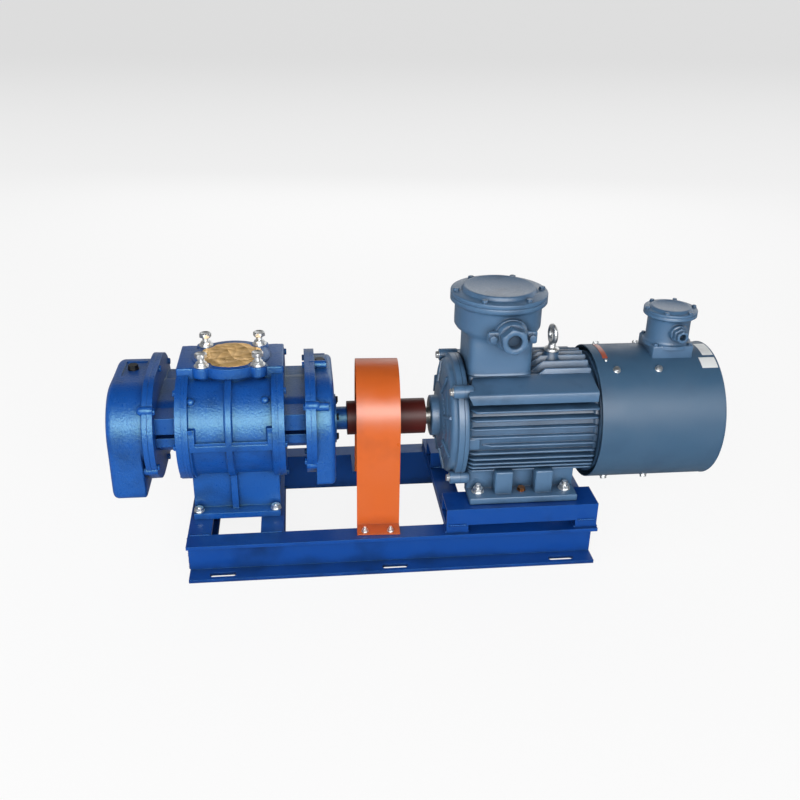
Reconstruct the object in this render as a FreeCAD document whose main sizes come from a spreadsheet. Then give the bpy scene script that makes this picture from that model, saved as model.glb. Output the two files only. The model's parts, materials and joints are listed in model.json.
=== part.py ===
import FreeCAD, Part
import math
import os
import re
import Sketcher

# Roots blower set: a two-lobe blower, a pin coupling under a guard and an
# electric motor with its own cooling fan, on one welded channel base.
# X runs along the shafts from the gear end to the motor, Z is up and the
# origin is the middle of the base frame at floor level. Millimetres.

doc = FreeCAD.newDocument("roots_blower")
sheet = doc.addObject("Spreadsheet::Sheet", "dims")

DIMENSIONS = [
    # base frame
    ("base_length", 965, "length of the two base rails"),
    ("base_width", 455, "over the outer flange edges"),
    ("rail_height", 100, "channel height"),
    ("rail_flange", 48, "channel flange width"),
    ("rail_web", 5.3, "channel web thickness"),
    ("rail_thick", 8.5, "channel flange thickness"),
    ("slot_pitch", 405, "from the middle slot to an end slot"),
    ("slot_inset", 17.5, "slot middle from the flange edge"),
    ("slot_length", 62, "foundation slot, over its round ends"),
    ("slot_width", 16, "foundation slot"),
    ("cross_flange", 54, "flange width of the cross members"),
    ("bar_thick", 20, "flat bars under the motor pads"),
    ("bar_width", 52, "flat bars, along the shaft"),
    ("pad_web", 80, "motor pad channel, web laid flat"),
    ("pad_flange", 43, "motor pad channel, flange height"),
    ("pad_thick", 8, "motor pad channel, flange thickness"),
    ("pad_plate", 6, "motor pad channel, web thickness"),
    ("pad_length", 362, "motor pad channel"),
    ("pad_start", 118.5, "first end of the motor pads, in X"),
    ("pad_edge", 218.6, "outer edge of the front motor pad, in Y"),
    # shaft line
    ("axis_offset", 41, "drive shaft in front of the base middle"),
    ("axis_height", 323, "drive shaft above the floor"),
    ("centre_distance", 110, "between the two rotor shafts"),
    # blower
    ("blower_place", -370.5, "middle of the blower, in X"),
    ("casing_half", 107, "half length of the rotor casing"),
    ("casing_radius", 120, "casing barrel"),
    ("flange_radius", 130, "casing and cover flanges"),
    ("flange_thick", 14, "casing flange and side plate"),
    ("port_height", 148, "port face above the shafts"),
    ("port_half", 70, "half width of the flange lugs beside the port"),
    ("port_bore", 50, "port radius"),
    ("port_ring", 90, "radius of the port flange"),
    ("port_circle", 180, "pitch circle of the port holes"),
    ("port_lobe", 21, "lobes round the port bolts"),
    ("port_thick", 24, "thickness of the port flange"),
    ("port_bolt", 8, "radius of the port bolts"),
    ("neck_radius", 62, "bearing housing between plate and cover flange"),
    ("neck_length", 48, "from side plate to cover flange"),
    ("carrier_thick", 12, "cover flange of the side plate"),
    ("carrier_radius", 126, "cover flanges round the shafts"),
    ("cover_radius", 111, "oil covers round the shafts"),
    ("cover_wall", 8, "wall of the oil covers"),
    ("cover_fillet", 12, "rounding round the end of a cover"),
    ("gear_cover_end", 275, "gear cover end from the blower middle"),
    ("drive_cover_end", 235.5, "drive cover end from the blower middle"),
    ("gear_corner", 60, "upper front corner of the gear cover"),
    ("gear_sump_start", 200, "inner end of the gear sump from the blower middle"),
    ("drive_sump_start", 191, "inner end of the drive sump from the blower middle"),
    ("sump_corner", 8, "lower corners of both sumps"),
    ("gear_sump_drop", 140, "gear sump below the shafts"),
    ("drive_sump_drop", 119, "drive sump below the shafts"),
    ("foot_half", 102, "half length of the blower foot"),
    ("foot_thick", 15, "blower foot plate"),
    ("foot_reach", 126, "foot edge from the port middle, in Y"),
    ("foot_bolt_x", 91, "foot bolts from the blower middle"),
    ("foot_bolt_y", 111, "foot bolts from the port middle"),
    ("pedestal_half", 94, "pedestal wall from the port middle, in Y"),
    ("pedestal_wall", 12, "wall of the hollow pedestal"),
    # rotors, gears and bearings
    ("lobe_count", 2, "lobes of each rotor"),
    ("gear_teeth", 16, "teeth of each timing gear"),
    ("mesh_gap", 0.35, "cut back from the exact rolling shape"),
    ("rotor_half", 105.6, "half length of the lobes"),
    ("journal", 22.5, "radius of the rotor shafts"),
    ("gear_width", 30, "timing gears"),
    ("bearing_outer", 50, "rotor bearing"),
    ("bearing_width", 25, "rotor bearing"),
    ("run_gap", 0.05, "running clearance of a shaft in its bore"),
    # coupling and guard
    ("sleeve_radius", 27.5, "painted sleeve on the drive shaft"),
    ("hub_start", -103.5, "blower side end of the coupling, in X"),
    ("hub_end", 82.5, "motor side end of the coupling, in X"),
    ("hub_radius", 42.5, "coupling hubs"),
    ("disc_radius", 72, "coupling discs"),
    ("disc_thick", 28, "coupling discs"),
    ("disc_gap", 4, "gap between the coupling discs"),
    ("disc_middle", -34.5, "middle of the coupling, in X"),
    ("pin_circle", 108, "pitch circle of the coupling pins"),
    ("guard_width", 100, "guard strip"),
    ("guard_sheet", 3, "guard sheet thickness"),
    ("guard_half", 129.4, "guard leg from the shaft, outside"),
    ("guard_place", -32.7, "middle of the guard above the shaft, in X"),
    ("guard_turn", -2.5, "the guard stands a little askew, degrees about the vertical"),
    ("guard_top", 465, "top of the guard above the floor"),
    ("guard_foot", 42, "foot of the guard strip"),
    # motor
    ("shoulder", 90.5, "shaft shoulder of the motor, in X"),
    ("shaft_out", 110, "shaft end length"),
    ("shaft_radius", 21, "motor shaft end"),
    ("foot_first", 108, "shoulder to the first foot hole"),
    ("foot_pitch_x", 210, "foot holes along the shaft"),
    ("foot_pitch_y", 254, "foot holes across the shaft"),
    ("foot_width", 320, "over the motor feet"),
    ("foot_length", 258, "motor feet along the shaft"),
    ("foot_plate", 17, "motor foot thickness"),
    ("frame_start", 66, "frame from the shoulder"),
    ("frame_end", 383, "frame end from the shoulder"),
    ("frame_radius", 130, "frame barrel under the fins"),
    ("frame_bore", 115, "bore of the frame"),
    ("fin_reach", 140, "corner rails and lugs from the axis"),
    ("fin_thick", 5, "fin thickness"),
    ("fin_radius", 155, "tips of the top fins"),
    ("shield_radius", 150, "end shield rim"),
    ("ear_radius", 157, "shield bolts from the axis"),
    ("cowl_start", 384, "cowl from the shoulder"),
    ("cowl_end", 679, "cowl end from the shoulder"),
    ("cowl_radius", 162, "cowl outside"),
    ("cowl_sheet", 2.5, "cowl sheet"),
    ("box_place", 157, "terminal box from the shoulder"),
    ("box_neck", 150, "square foot of the terminal box"),
    ("box_radius", 100, "terminal box drum"),
    ("box_rim", 111.5, "terminal box rim and lid"),
    ("box_seat", 133, "joint under the terminal box above the axis"),
    ("box_entry", 243, "cable entry of the terminal box above the axis"),
    ("box_drum_low", 236, "underside of the drum above the axis"),
    ("box_face", 304.5, "joint under the lid above the axis"),
    ("lid_thick", 14, "lid plate"),
    ("fan_box_place", 572.5, "fan terminal box from the shoulder"),
    ("fan_box_base", 99, "square foot of the fan terminal box"),
    ("fan_box_radius", 50, "fan terminal box drum"),
    ("fan_box_rim", 62, "fan terminal box rim and lid"),
    ("fan_box_entry", 218, "its cable entry above the axis"),
    ("fan_box_face", 256, "joint under its lid above the axis"),
    ("fan_lid_thick", 10, "fan terminal box lid"),
]

for row, (alias, size, meaning) in enumerate(DIMENSIONS, start=1):
    sheet.set(f"A{row}", alias)
    sheet.set(f"B{row}", str(size))
    sheet.setAlias(f"B{row}", alias)
    sheet.set(f"C{row}", meaning)

# places worked out from the driving dimensions, as formulas in the sheet
DERIVED = [
    ("drive_y", "-axis_offset"),
    ("driven_y", "centre_distance - axis_offset"),
    ("port_y", "centre_distance / 2 - axis_offset"),
    ("bar_top", "rail_height + bar_thick"),
    ("pad_top", "rail_height + bar_thick + pad_flange"),
    ("plate_end", "casing_half + flange_thick"),
    ("carrier_start", "casing_half + flange_thick + neck_length"),
    ("joint_face", "casing_half + flange_thick + neck_length + carrier_thick"),
    ("rotor_tip", "centre_distance / 2 + centre_distance / (2 * lobe_count)"),
    ("port_top", "axis_height + port_height"),
    ("frame_length", "frame_end - frame_start"),
    ("motor_foot_x", "shoulder + foot_first"),
]

ALIASES = {alias for alias, _, _ in DIMENSIONS} | {alias for alias, _ in DERIVED}


def in_sheet(text, prefix="dims."):
    """Put the sheet's name before every alias of an expression."""
    def spell(found):
        word = found.group(0)
        return prefix + word if word in ALIASES else word
    return re.sub(r"[A-Za-z_][A-Za-z0-9_]*", spell, str(text))


for row, (alias, formula) in enumerate(DERIVED, start=len(DIMENSIONS) + 1):
    sheet.set(f"A{row}", alias)
    sheet.set(f"B{row}", "=" + formula)
    sheet.setAlias(f"B{row}", alias)
doc.recompute()

size = {alias: float(sheet.get(alias)) for alias in ALIASES}
parts = {}


def bind(thing, **formulas):
    """Tie properties to the sheet; base_x means Placement.Base.x."""
    for name, formula in formulas.items():
        path = "Placement.Base." + name[-1] if name.startswith("base_") else name
        thing.setExpression(path, in_sheet(formula))
    return thing


TURNS = {
    "x": FreeCAD.Rotation(FreeCAD.Vector(0, 1, 0), 90),
    "y": FreeCAD.Rotation(FreeCAD.Vector(1, 0, 0), -90),
    "z": FreeCAD.Rotation(),
    "down": FreeCAD.Rotation(FreeCAD.Vector(1, 0, 0), 180),
    "front": FreeCAD.Rotation(FreeCAD.Vector(1, 0, 0), 90),
    "left": FreeCAD.Rotation(FreeCAD.Vector(0, 1, 0), -90),
}


def box(x, y, z, length, width, height):
    """A block from its lowest corner and its three sizes."""
    block = doc.addObject("Part::Box", "block")
    return bind(block, base_x=x, base_y=y, base_z=z, Length=length, Width=width, Height=height)


def rounded_block(x, y, z, length, width, height, rounding):
    """A block with its four upright edges rounded."""
    block = box(x, y, z, length, width, height)
    doc.recompute()
    upright = []
    for number, edge in enumerate(block.Shape.Edges, start=1):
        low, high = edge.Vertexes[0].Point, edge.Vertexes[1].Point
        if abs(high.z - low.z) > 1:
            upright.append((number, rounding, rounding))
    piece = doc.addObject("Part::Fillet", "rounded")
    piece.Base = block
    piece.Edges = upright
    return piece


def rod(axis, x, y, z, radius, length):
    """A cylinder that starts at x, y, z and runs along an axis."""
    cylinder = doc.addObject("Part::Cylinder", "rod")
    cylinder.Placement.Rotation = TURNS[axis]
    return bind(cylinder, base_x=x, base_y=y, base_z=z, Radius=radius, Height=length)


def cone(axis, x, y, z, radius, end_radius, length):
    """A cone that starts at x, y, z with radius and runs along an axis."""
    piece = doc.addObject("Part::Cone", "cone")
    piece.Placement.Rotation = TURNS[axis]
    return bind(piece, base_x=x, base_y=y, base_z=z, Radius1=radius, Radius2=end_radius, Height=length)


def hexagon(axis, x, y, z, radius, length):
    """A six-sided bar by its corner radius, along an axis."""
    prism = doc.addObject("Part::Prism", "hexagon")
    prism.Polygon = 6
    prism.Placement.Rotation = TURNS[axis]
    return bind(prism, base_x=x, base_y=y, base_z=z, Circumradius=radius, Height=length)


def fuse(*pieces):
    union = doc.addObject("Part::MultiFuse", "union")
    union.Shapes = list(pieces)
    union.Refine = True
    return union


def cut(base, *tools):
    result = doc.addObject("Part::Cut", "difference")
    result.Base = base
    result.Tool = tools[0] if len(tools) == 1 else group(*tools)
    return result


def common(*pieces):
    result = doc.addObject("Part::MultiCommon", "overlap")
    result.Shapes = list(pieces)
    return result


def group(*pieces):
    """Separate solids kept together."""
    compound = doc.addObject("Part::Compound", "set")
    compound.Links = list(pieces)
    return compound


def origin_plane(body, role):
    return next(item for item in body.Origin.OriginFeatures if item.Role == role)


def outline(body, role, points):
    """A closed polygon whose every corner is tied to the sheet."""
    sketch = body.newObject("Sketcher::SketchObject", "outline")
    sketch.AttachmentSupport = [(origin_plane(body, role), "")]
    sketch.MapMode = "FlatFace"
    count = len(points)
    for number in range(count):
        here = 2 * math.pi * number / count
        there = 2 * math.pi * (number + 1) / count
        start = FreeCAD.Vector(90 * math.cos(here), 90 * math.sin(here), 0)
        end = FreeCAD.Vector(90 * math.cos(there), 90 * math.sin(there), 0)
        sketch.addGeometry(Part.LineSegment(start, end), False)
    for number in range(count):
        sketch.addConstraint(Sketcher.Constraint("Coincident", number, 2, (number + 1) % count, 1))
    for number, corner in enumerate(points):
        for direction, formula in zip(("DistanceX", "DistanceY"), corner):
            place = sketch.getPoint(number, 1)
            now = place.x if direction == "DistanceX" else place.y
            index = sketch.addConstraint(Sketcher.Constraint(direction, -1, 1, number, 1, now))
            sketch.setExpression(f"Constraints[{index}]", in_sheet(formula))
    return sketch


def turned(points, x, y, z):
    """A body of revolution about X from (place along X, radius) corners."""
    body = doc.addObject("PartDesign::Body", "turned")
    sketch = outline(body, "XZ_Plane", points)
    spin = body.newObject("PartDesign::Revolution", "spin")
    spin.Profile = sketch
    spin.ReferenceAxis = (sketch, ["H_Axis"])
    spin.Angle = 360
    return bind(body, base_x=x, base_y=y, base_z=z)


def turned_up(points, x, y, z):
    """A body of revolution about Z from (radius, height) corners."""
    body = doc.addObject("PartDesign::Body", "turned")
    sketch = outline(body, "XZ_Plane", points)
    spin = body.newObject("PartDesign::Revolution", "spin")
    spin.Profile = sketch
    spin.ReferenceAxis = (sketch, ["V_Axis"])
    spin.Angle = 360
    return bind(body, base_x=x, base_y=y, base_z=z)


def padded(role, points, length, x, y, z):
    """A pad of a polygon drawn on an origin plane."""
    body = doc.addObject("PartDesign::Body", "padded")
    pad = body.newObject("PartDesign::Pad", "pad")
    pad.Profile = outline(body, role, points)
    bind(pad, Length=length)
    return bind(body, base_x=x, base_y=y, base_z=z)


def keep(name, thing):
    """Name a finished sub-part: its label is its node and its file."""
    thing.Label = name
    parts[name] = thing
    return thing


def oval(start, length, radius):
    """A block round both rotor shafts: two discs and the slab between them."""
    height = f"2 * ({radius})"
    return fuse(
        rod("x", start, "drive_y", "axis_height", radius, length),
        rod("x", start, "driven_y", "axis_height", radius, length),
        box(start, "drive_y", f"axis_height - ({radius})", length, "centre_distance", height),
    )


def about_shafts(angle, radius):
    """A place on the rim round the nearer shaft; 180 degrees is the front."""
    across = math.cos(math.radians(angle))
    shaft = "driven_y" if across > 0 else "drive_y"
    turn = math.radians(angle)
    return (f"{shaft} + {radius} * {math.cos(turn):.6f}", f"axis_height + {radius} * {math.sin(turn):.6f}")


def cover_bolt_places():
    """Bolts of an oil cover: four round the shafts, one above and one below the middle."""
    places = [about_shafts(angle, 117) for angle in COVER_ANGLES]
    return places + [("port_y", "axis_height + 117"), ("port_y", "axis_height - 117")]


def bolt(axis, x, y, z, radius, length, washer=True):
    """A hexagon bolt: shank along the axis, head and washer behind the seat."""
    back = {"x": (-1, 0, 0), "left": (1, 0, 0), "y": (0, -1, 0),
            "front": (0, 1, 0), "z": (0, 0, -1), "down": (0, 0, 1)}
    step_x, step_y, step_z = back[axis]
    lift = 0.25 * radius if washer else 0
    head = 1.3 * radius

    def shifted(distance):
        return f"{x} + {step_x * distance}", f"{y} + {step_y * distance}", f"{z} + {step_z * distance}"

    pieces = [rod(axis, x, y, z, radius, length), hexagon(axis, *shifted(head + lift), 1.85 * radius, head)]
    if washer:
        pieces.append(rod(axis, *shifted(lift), 2.1 * radius, lift))
    return fuse(*pieces)


def rolling_outline(pitch_radius, count, gap, tip_angle):
    """Closed spline of rolling-circle lobes: each crest is the path of a point on
    a circle rolling outside the pitch circle, each hollow of one rolling inside,
    both moved into the metal by gap along the line to the rolling contact."""
    roller = pitch_radius / (2 * count)
    samples = 12
    points = []
    for half in range(2 * count):
        outside = half % 2 == 0
        for number in range(samples):
            turn = (number + 0.5) / samples * math.pi / count
            contact = half * math.pi / count + turn - math.pi / (2 * count) + tip_angle
            base = half * math.pi / count - math.pi / (2 * count) + tip_angle
            roll = turn * pitch_radius / roller
            if outside:
                centre = pitch_radius + roller
                angle = contact + math.pi + roll
            else:
                centre = pitch_radius - roller
                angle = contact - roll
            y = centre * math.cos(base + turn) + roller * math.cos(angle)
            z = centre * math.sin(base + turn) + roller * math.sin(angle)
            to_y = pitch_radius * math.cos(contact) - y
            to_z = pitch_radius * math.sin(contact) - z
            reach = math.hypot(to_y, to_z)
            step = gap / reach if outside else -gap / reach
            points.append(FreeCAD.Vector(0, y + step * to_y, z + step * to_z))
    spline = Part.BSplineCurve()
    spline.interpolate(points, PeriodicFlag=True)
    return Part.Wire([spline.toShape()])


def rolling_prism(name, pitch_radius, count, tip_angle, start, length, y):
    """Lobes or teeth as a prism along X, sized from the sheet by this script."""
    wire = rolling_outline(pitch_radius, count, size["mesh_gap"], tip_angle)
    prism = doc.addObject("Part::Feature", name)
    prism.Shape = Part.Face(wire).extrude(FreeCAD.Vector(length, 0, 0))
    prism.Placement.Base = FreeCAD.Vector(start, y, size["axis_height"])
    return prism


def rail(side):
    """A base rail: a channel with its flanges outward, slotted in the lower one."""
    web = "rail_flange - rail_web"
    points = [(0, 0), ("rail_flange", 0), ("rail_flange", "rail_height"), (0, "rail_height"),
              (0, "rail_height - rail_thick"), (web, "rail_height - rail_thick"),
              (web, "rail_thick"), (0, "rail_thick")]
    if side > 0:
        points = [(f"-({y})", z) for y, z in points]
    channel = padded("YZ_Plane", points, "base_length", "-base_length / 2", f"{side} * base_width / 2", 0)
    row = f"{side} * (base_width / 2 - slot_inset)"
    slots = []
    for place in (-1, 0, 1):
        middle = f"{place} * slot_pitch"
        straight = "slot_length - slot_width"
        slots.append(box(f"{middle} - ({straight}) / 2", f"{row} - slot_width / 2", -1,
                         straight, "slot_width", 12))
        for end in (-1, 1):
            slots.append(rod("z", f"{middle} + {end} * ({straight}) / 2", row, -1, "slot_width / 2", 12))
    return channel, slots


def foot_bolt_places():
    """Blower foot bolts: (x, y) formulas."""
    return [(f"blower_place + {i} * foot_bolt_x", f"port_y + {j} * foot_bolt_y")
            for i in (-1, 1) for j in (-1, 1)]


GUARD_BOLTS = (-32, 28)


def guard_bolt_places(side):
    """Bolts of the guard's front or rear foot, turned with the guard: (x, y) formulas."""
    row = "-159" if side < 0 else "(guard_half + 20)"
    across = f"{math.cos(math.radians(size['guard_turn'])):.6f}"
    along = f"{math.sin(math.radians(size['guard_turn'])):.6f}"
    return [(f"guard_place + {step} * {across} - {row} * {along}",
             f"drive_y + {step} * {along} + {row} * {across}") for step in GUARD_BOLTS]


def base_frame():
    for name, side in (("base_rail_front", -1), ("base_rail_rear", 1)):
        channel, tools = rail(side)
        if side < 0:
            tools += [rod("z", x, y, "rail_height - 10", 4.2, 11) for x, y in guard_bolt_places(-1)]
        keep(name, cut(channel, *tools))

    width = "base_width - 2 * rail_flange"
    for name, start, turn in (("base_cross_left", "-base_length / 2", 1),
                              ("base_cross_right", "blower_place + foot_bolt_x - 35", 1)):
        web = "rail_web"
        points = [(0, 0), ("cross_flange", 0), ("cross_flange", "rail_thick"), (web, "rail_thick"),
                  (web, "rail_height - rail_thick"), ("cross_flange", "rail_height - rail_thick"),
                  ("cross_flange", "rail_height"), (0, "rail_height")]
        member = padded("XZ_Plane", points, width, start, "base_width / 2 - rail_flange", 0)
        holes = [rod("z", x, y, "rail_height - 10", 6.6, 11) for x, y in foot_bolt_places()]
        keep(name, cut(member, *holes))

    bars = [box(x, "-pad_edge", "rail_height", "bar_width", "2 * pad_edge", "bar_thick")
            for x in ("pad_start", "pad_start + pad_length - bar_width")]
    keep("motor_cross_bars", group(*bars))

    for name, side in (("motor_pad_front", -1), ("motor_pad_rear", 1)):
        points = [(0, 0), ("pad_thick", 0), ("pad_thick", "pad_flange - pad_plate"),
                  ("pad_web - pad_thick", "pad_flange - pad_plate"), ("pad_web - pad_thick", 0),
                  ("pad_web", 0), ("pad_web", "pad_flange"), (0, "pad_flange")]
        edge = "-pad_edge" if side < 0 else "pad_edge - 2 * axis_offset - pad_web"
        channel = padded("YZ_Plane", points, "pad_length", "pad_start", edge, "bar_top")
        holes = [rod("z", f"motor_foot_x + {i} * foot_pitch_x", f"drive_y + {side} * foot_pitch_y / 2",
                     "pad_top - 10", 7.3, 12) for i in (0, 1)]
        keep(name, cut(channel, *holes))

    shelf_start = "drive_y + guard_half"
    shelf = box("guard_place - 50", shelf_start, "rail_height - 8", 112,
                f"base_width / 2 - rail_flange - ({shelf_start})", 8)
    gusset = padded("YZ_Plane", [(0, 0), (0, -60), (-70, 0)], 8, "guard_place + 2",
                    "base_width / 2 - rail_flange", "rail_height - 8")
    holes = [rod("z", x, y, "rail_height - 10", 4.2, 12) for x, y in guard_bolt_places(1)]
    keep("guard_bracket", cut(fuse(shelf, gusset), *holes))


RIM_ANGLES = (180, 120, 240, 60, 0, 300)
COVER_ANGLES = (140, 210, 40, 330)
PORT_ANGLES = (45, 135, 225, 315)


def blower_casing():
    half = "casing_half"
    start = f"blower_place - {half}"
    barrel = oval(start, "2 * casing_half", "casing_radius")
    flanges = []
    for place in (start, "blower_place + casing_half - flange_thick"):
        flanges.append(oval(place, "flange_thick", "flange_radius"))
        flanges.append(box(place, "port_y - port_half", "axis_height", "flange_thick",
                           "2 * port_half", "port_height - 3"))
    port_low = "port_top - port_thick"
    port = [rod("z", "blower_place", "port_y", "axis_height + 60", "port_ring - 14", "port_height - 60"),
            rod("z", "blower_place", "port_y", port_low, "port_ring", "port_thick")]
    for angle in PORT_ANGLES:
        x = f"blower_place + port_circle / 2 * {math.cos(math.radians(angle)):.6f}"
        y = f"port_y + port_circle / 2 * {math.sin(math.radians(angle)):.6f}"
        port.append(rod("z", x, y, port_low, "port_lobe", "port_thick"))
    rear = "driven_y + flange_radius"
    outlet = [rod("y", "blower_place", "driven_y + 60", "axis_height",
                  "port_ring - 14", "flange_radius - 60"),
              rod("y", "blower_place", f"{rear} - 20", "axis_height", "port_ring + 14", 20)]
    ring = rod("x", "blower_place - 12", "drive_y", "axis_height", "casing_radius + 6", 15)
    ring_front = common(ring, box("blower_place - 12", "drive_y - 150", "axis_height - 122", 15, 150, 260))
    belt = box("blower_place - casing_half", "drive_y - casing_radius - 6", "axis_height - 5",
               "2 * casing_half", 40, 15)
    steps = [box(x, "drive_y - casing_radius - 4", "axis_height + 10", 11, 40, 32)
             for x in (f"{start} + flange_thick", "blower_place + casing_half - flange_thick - 11")]
    pedestal = box("blower_place - foot_half", "port_y - pedestal_half", "rail_height",
                   "2 * foot_half", "2 * pedestal_half", "axis_height - rail_height - 60")
    foot = box("blower_place - foot_half", "port_y - foot_reach", "rail_height",
               "2 * foot_half", "2 * foot_reach", "foot_thick")
    spine = box("blower_place - 12", "port_y - pedestal_half - 12", "rail_height", 15,
                "2 * pedestal_half + 24", "axis_height - rail_height - casing_radius + 20")
    body = fuse(barrel, *flanges, *port, *outlet, *steps, ring_front, belt, pedestal, foot, spine)

    inner = "pedestal_wall"
    hollow = box(f"blower_place - foot_half + {inner}", f"port_y - pedestal_half + {inner}",
                 "rail_height - 1", f"2 * (foot_half - {inner})", f"2 * (pedestal_half - {inner})",
                 "axis_height - rail_height - flange_radius")
    tools = [hollow]
    for y in ("drive_y", "driven_y"):
        tools.append(rod("x", f"{start} - 1", y, "axis_height", "rotor_tip", "2 * casing_half + 2"))
    tools.append(rod("z", "blower_place", "port_y", "axis_height + 20", "port_bore", "port_height"))
    tools.append(rod("y", "blower_place", "driven_y + 20", "axis_height", "port_bore", "flange_radius"))
    for x, y in port_bolt_places():
        tools.append(rod("z", x, y, "port_top - 30", "port_bolt + 0.2", 31))
    for angle in PORT_ANGLES:
        turn = math.radians(angle)
        tools.append(rod("y", f"blower_place + port_circle / 2 * {math.cos(turn):.6f}", f"{rear} - 22",
                         f"axis_height + port_circle / 2 * {math.sin(turn):.6f}", "port_bolt", 23))
    for x, y in foot_bolt_places():
        tools.append(rod("z", x, y, "rail_height - 1", 6.6, "foot_thick + 2"))
    for side in (-1, 1):
        for angle in RIM_ANGLES:
            y, z = about_shafts(angle, 121)
            x = f"{start} - 1" if side < 0 else "blower_place + casing_half - 13"
            tools.append(rod("x", x, y, z, 4.2, 14))
    keep("blower_casing", cut(body, *tools))


def port_bolt_places():
    """Inlet bolts: (x, y) formulas."""
    places = []
    for angle in PORT_ANGLES:
        turn = math.radians(angle)
        places.append((f"blower_place + port_circle / 2 * {math.cos(turn):.6f}",
                       f"port_y + port_circle / 2 * {math.sin(turn):.6f}"))
    return places


def side_plate(name, side):
    """End plate, bearing housing and cover flange cast in one."""
    def along(near, far):
        return f"blower_place + {near}" if side > 0 else f"blower_place - ({far})"

    plate = oval(along("casing_half", "plate_end"), "flange_thick", "flange_radius")
    neck = oval(along("plate_end", "carrier_start"), "neck_length", "neck_radius")
    carrier = oval(along("carrier_start", "joint_face"), "carrier_thick", "carrier_radius")
    pieces = [plate, neck, carrier]
    for height, thick in ((-17, 22), (15, 40)):
        pieces.append(box(along("plate_end", "carrier_start"), "drive_y - 86", f"axis_height + {height}",
                          "neck_length", "centre_distance + 172", thick))
    tools = []
    for y in ("drive_y", "driven_y"):
        whole = along("casing_half - 1", "joint_face + 1")
        seat = along("joint_face - bearing_width - 6", "joint_face + 1")
        tools.append(rod("x", whole, y, "axis_height", "journal + 3", "joint_face - casing_half + 2"))
        tools.append(rod("x", seat, y, "axis_height", "bearing_outer", "bearing_width + 7"))
    for angle in RIM_ANGLES:
        y, z = about_shafts(angle, 121)
        tools.append(rod("x", along("casing_half - 1", "plate_end + 1"), y, z, 4.2, "flange_thick + 2"))
    for y, z in cover_bolt_places():
        tools.append(rod("x", along("carrier_start - 1", "joint_face + 1"), y, z, 4.2, "carrier_thick + 2"))
    keep(name, cut(fuse(*pieces), *tools))


def cover_outline(corner, lower):
    """Outline of an oil cover across the shafts. corner rounds the upper front, and
    lower is the drop of the sump, or None for the round lower half."""
    radius = size["cover_radius"]
    front = size["drive_y"] - radius
    rear = size["driven_y"] + radius
    axis = size["axis_height"]
    top = axis + radius
    small = size["sump_corner"]

    def at(y, z):
        return FreeCAD.Vector(0, y, z)

    def bend(y, z, reach, turn):
        """A quarter circle round y, z that starts at turn degrees and runs clockwise."""
        points = []
        for step in (0, 45, 90):
            angle = math.radians(turn - step)
            points.append(at(y + reach * math.cos(angle), z + reach * math.sin(angle)))
        return Part.Arc(*points)

    curves = [bend(front + corner, top - corner, corner, 180),
              Part.LineSegment(at(front + corner, top), at(size["driven_y"], top)),
              bend(size["driven_y"], axis, radius, 90)]
    if lower is None:
        curves += [bend(size["driven_y"], axis, radius, 0),
                   Part.LineSegment(at(size["driven_y"], axis - radius), at(size["drive_y"], axis - radius)),
                   bend(size["drive_y"], axis, radius, 270)]
        floor = axis
    else:
        low = axis - lower
        curves += [Part.LineSegment(at(rear, axis), at(rear, low + small)),
                   bend(rear - small, low + small, small, 0),
                   Part.LineSegment(at(rear - small, low), at(front + small, low)),
                   bend(front + small, low + small, small, 270)]
        floor = low + small
    if top - corner - floor > 0.01:
        curves.append(Part.LineSegment(at(front, floor), at(front, top - corner)))
    return Part.Wire([curve.toShape() for curve in curves])


def cover_prism(name, near, far, corner, lower):
    """A length of oil cover between two places along X."""
    prism = doc.addObject("Part::Feature", name)
    start = min(near, far)
    prism.Shape = Part.Face(cover_outline(corner, lower)).extrude(FreeCAD.Vector(abs(far - near), 0, 0))
    prism.Placement.Base = FreeCAD.Vector(start, 0, 0)
    return prism


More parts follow.
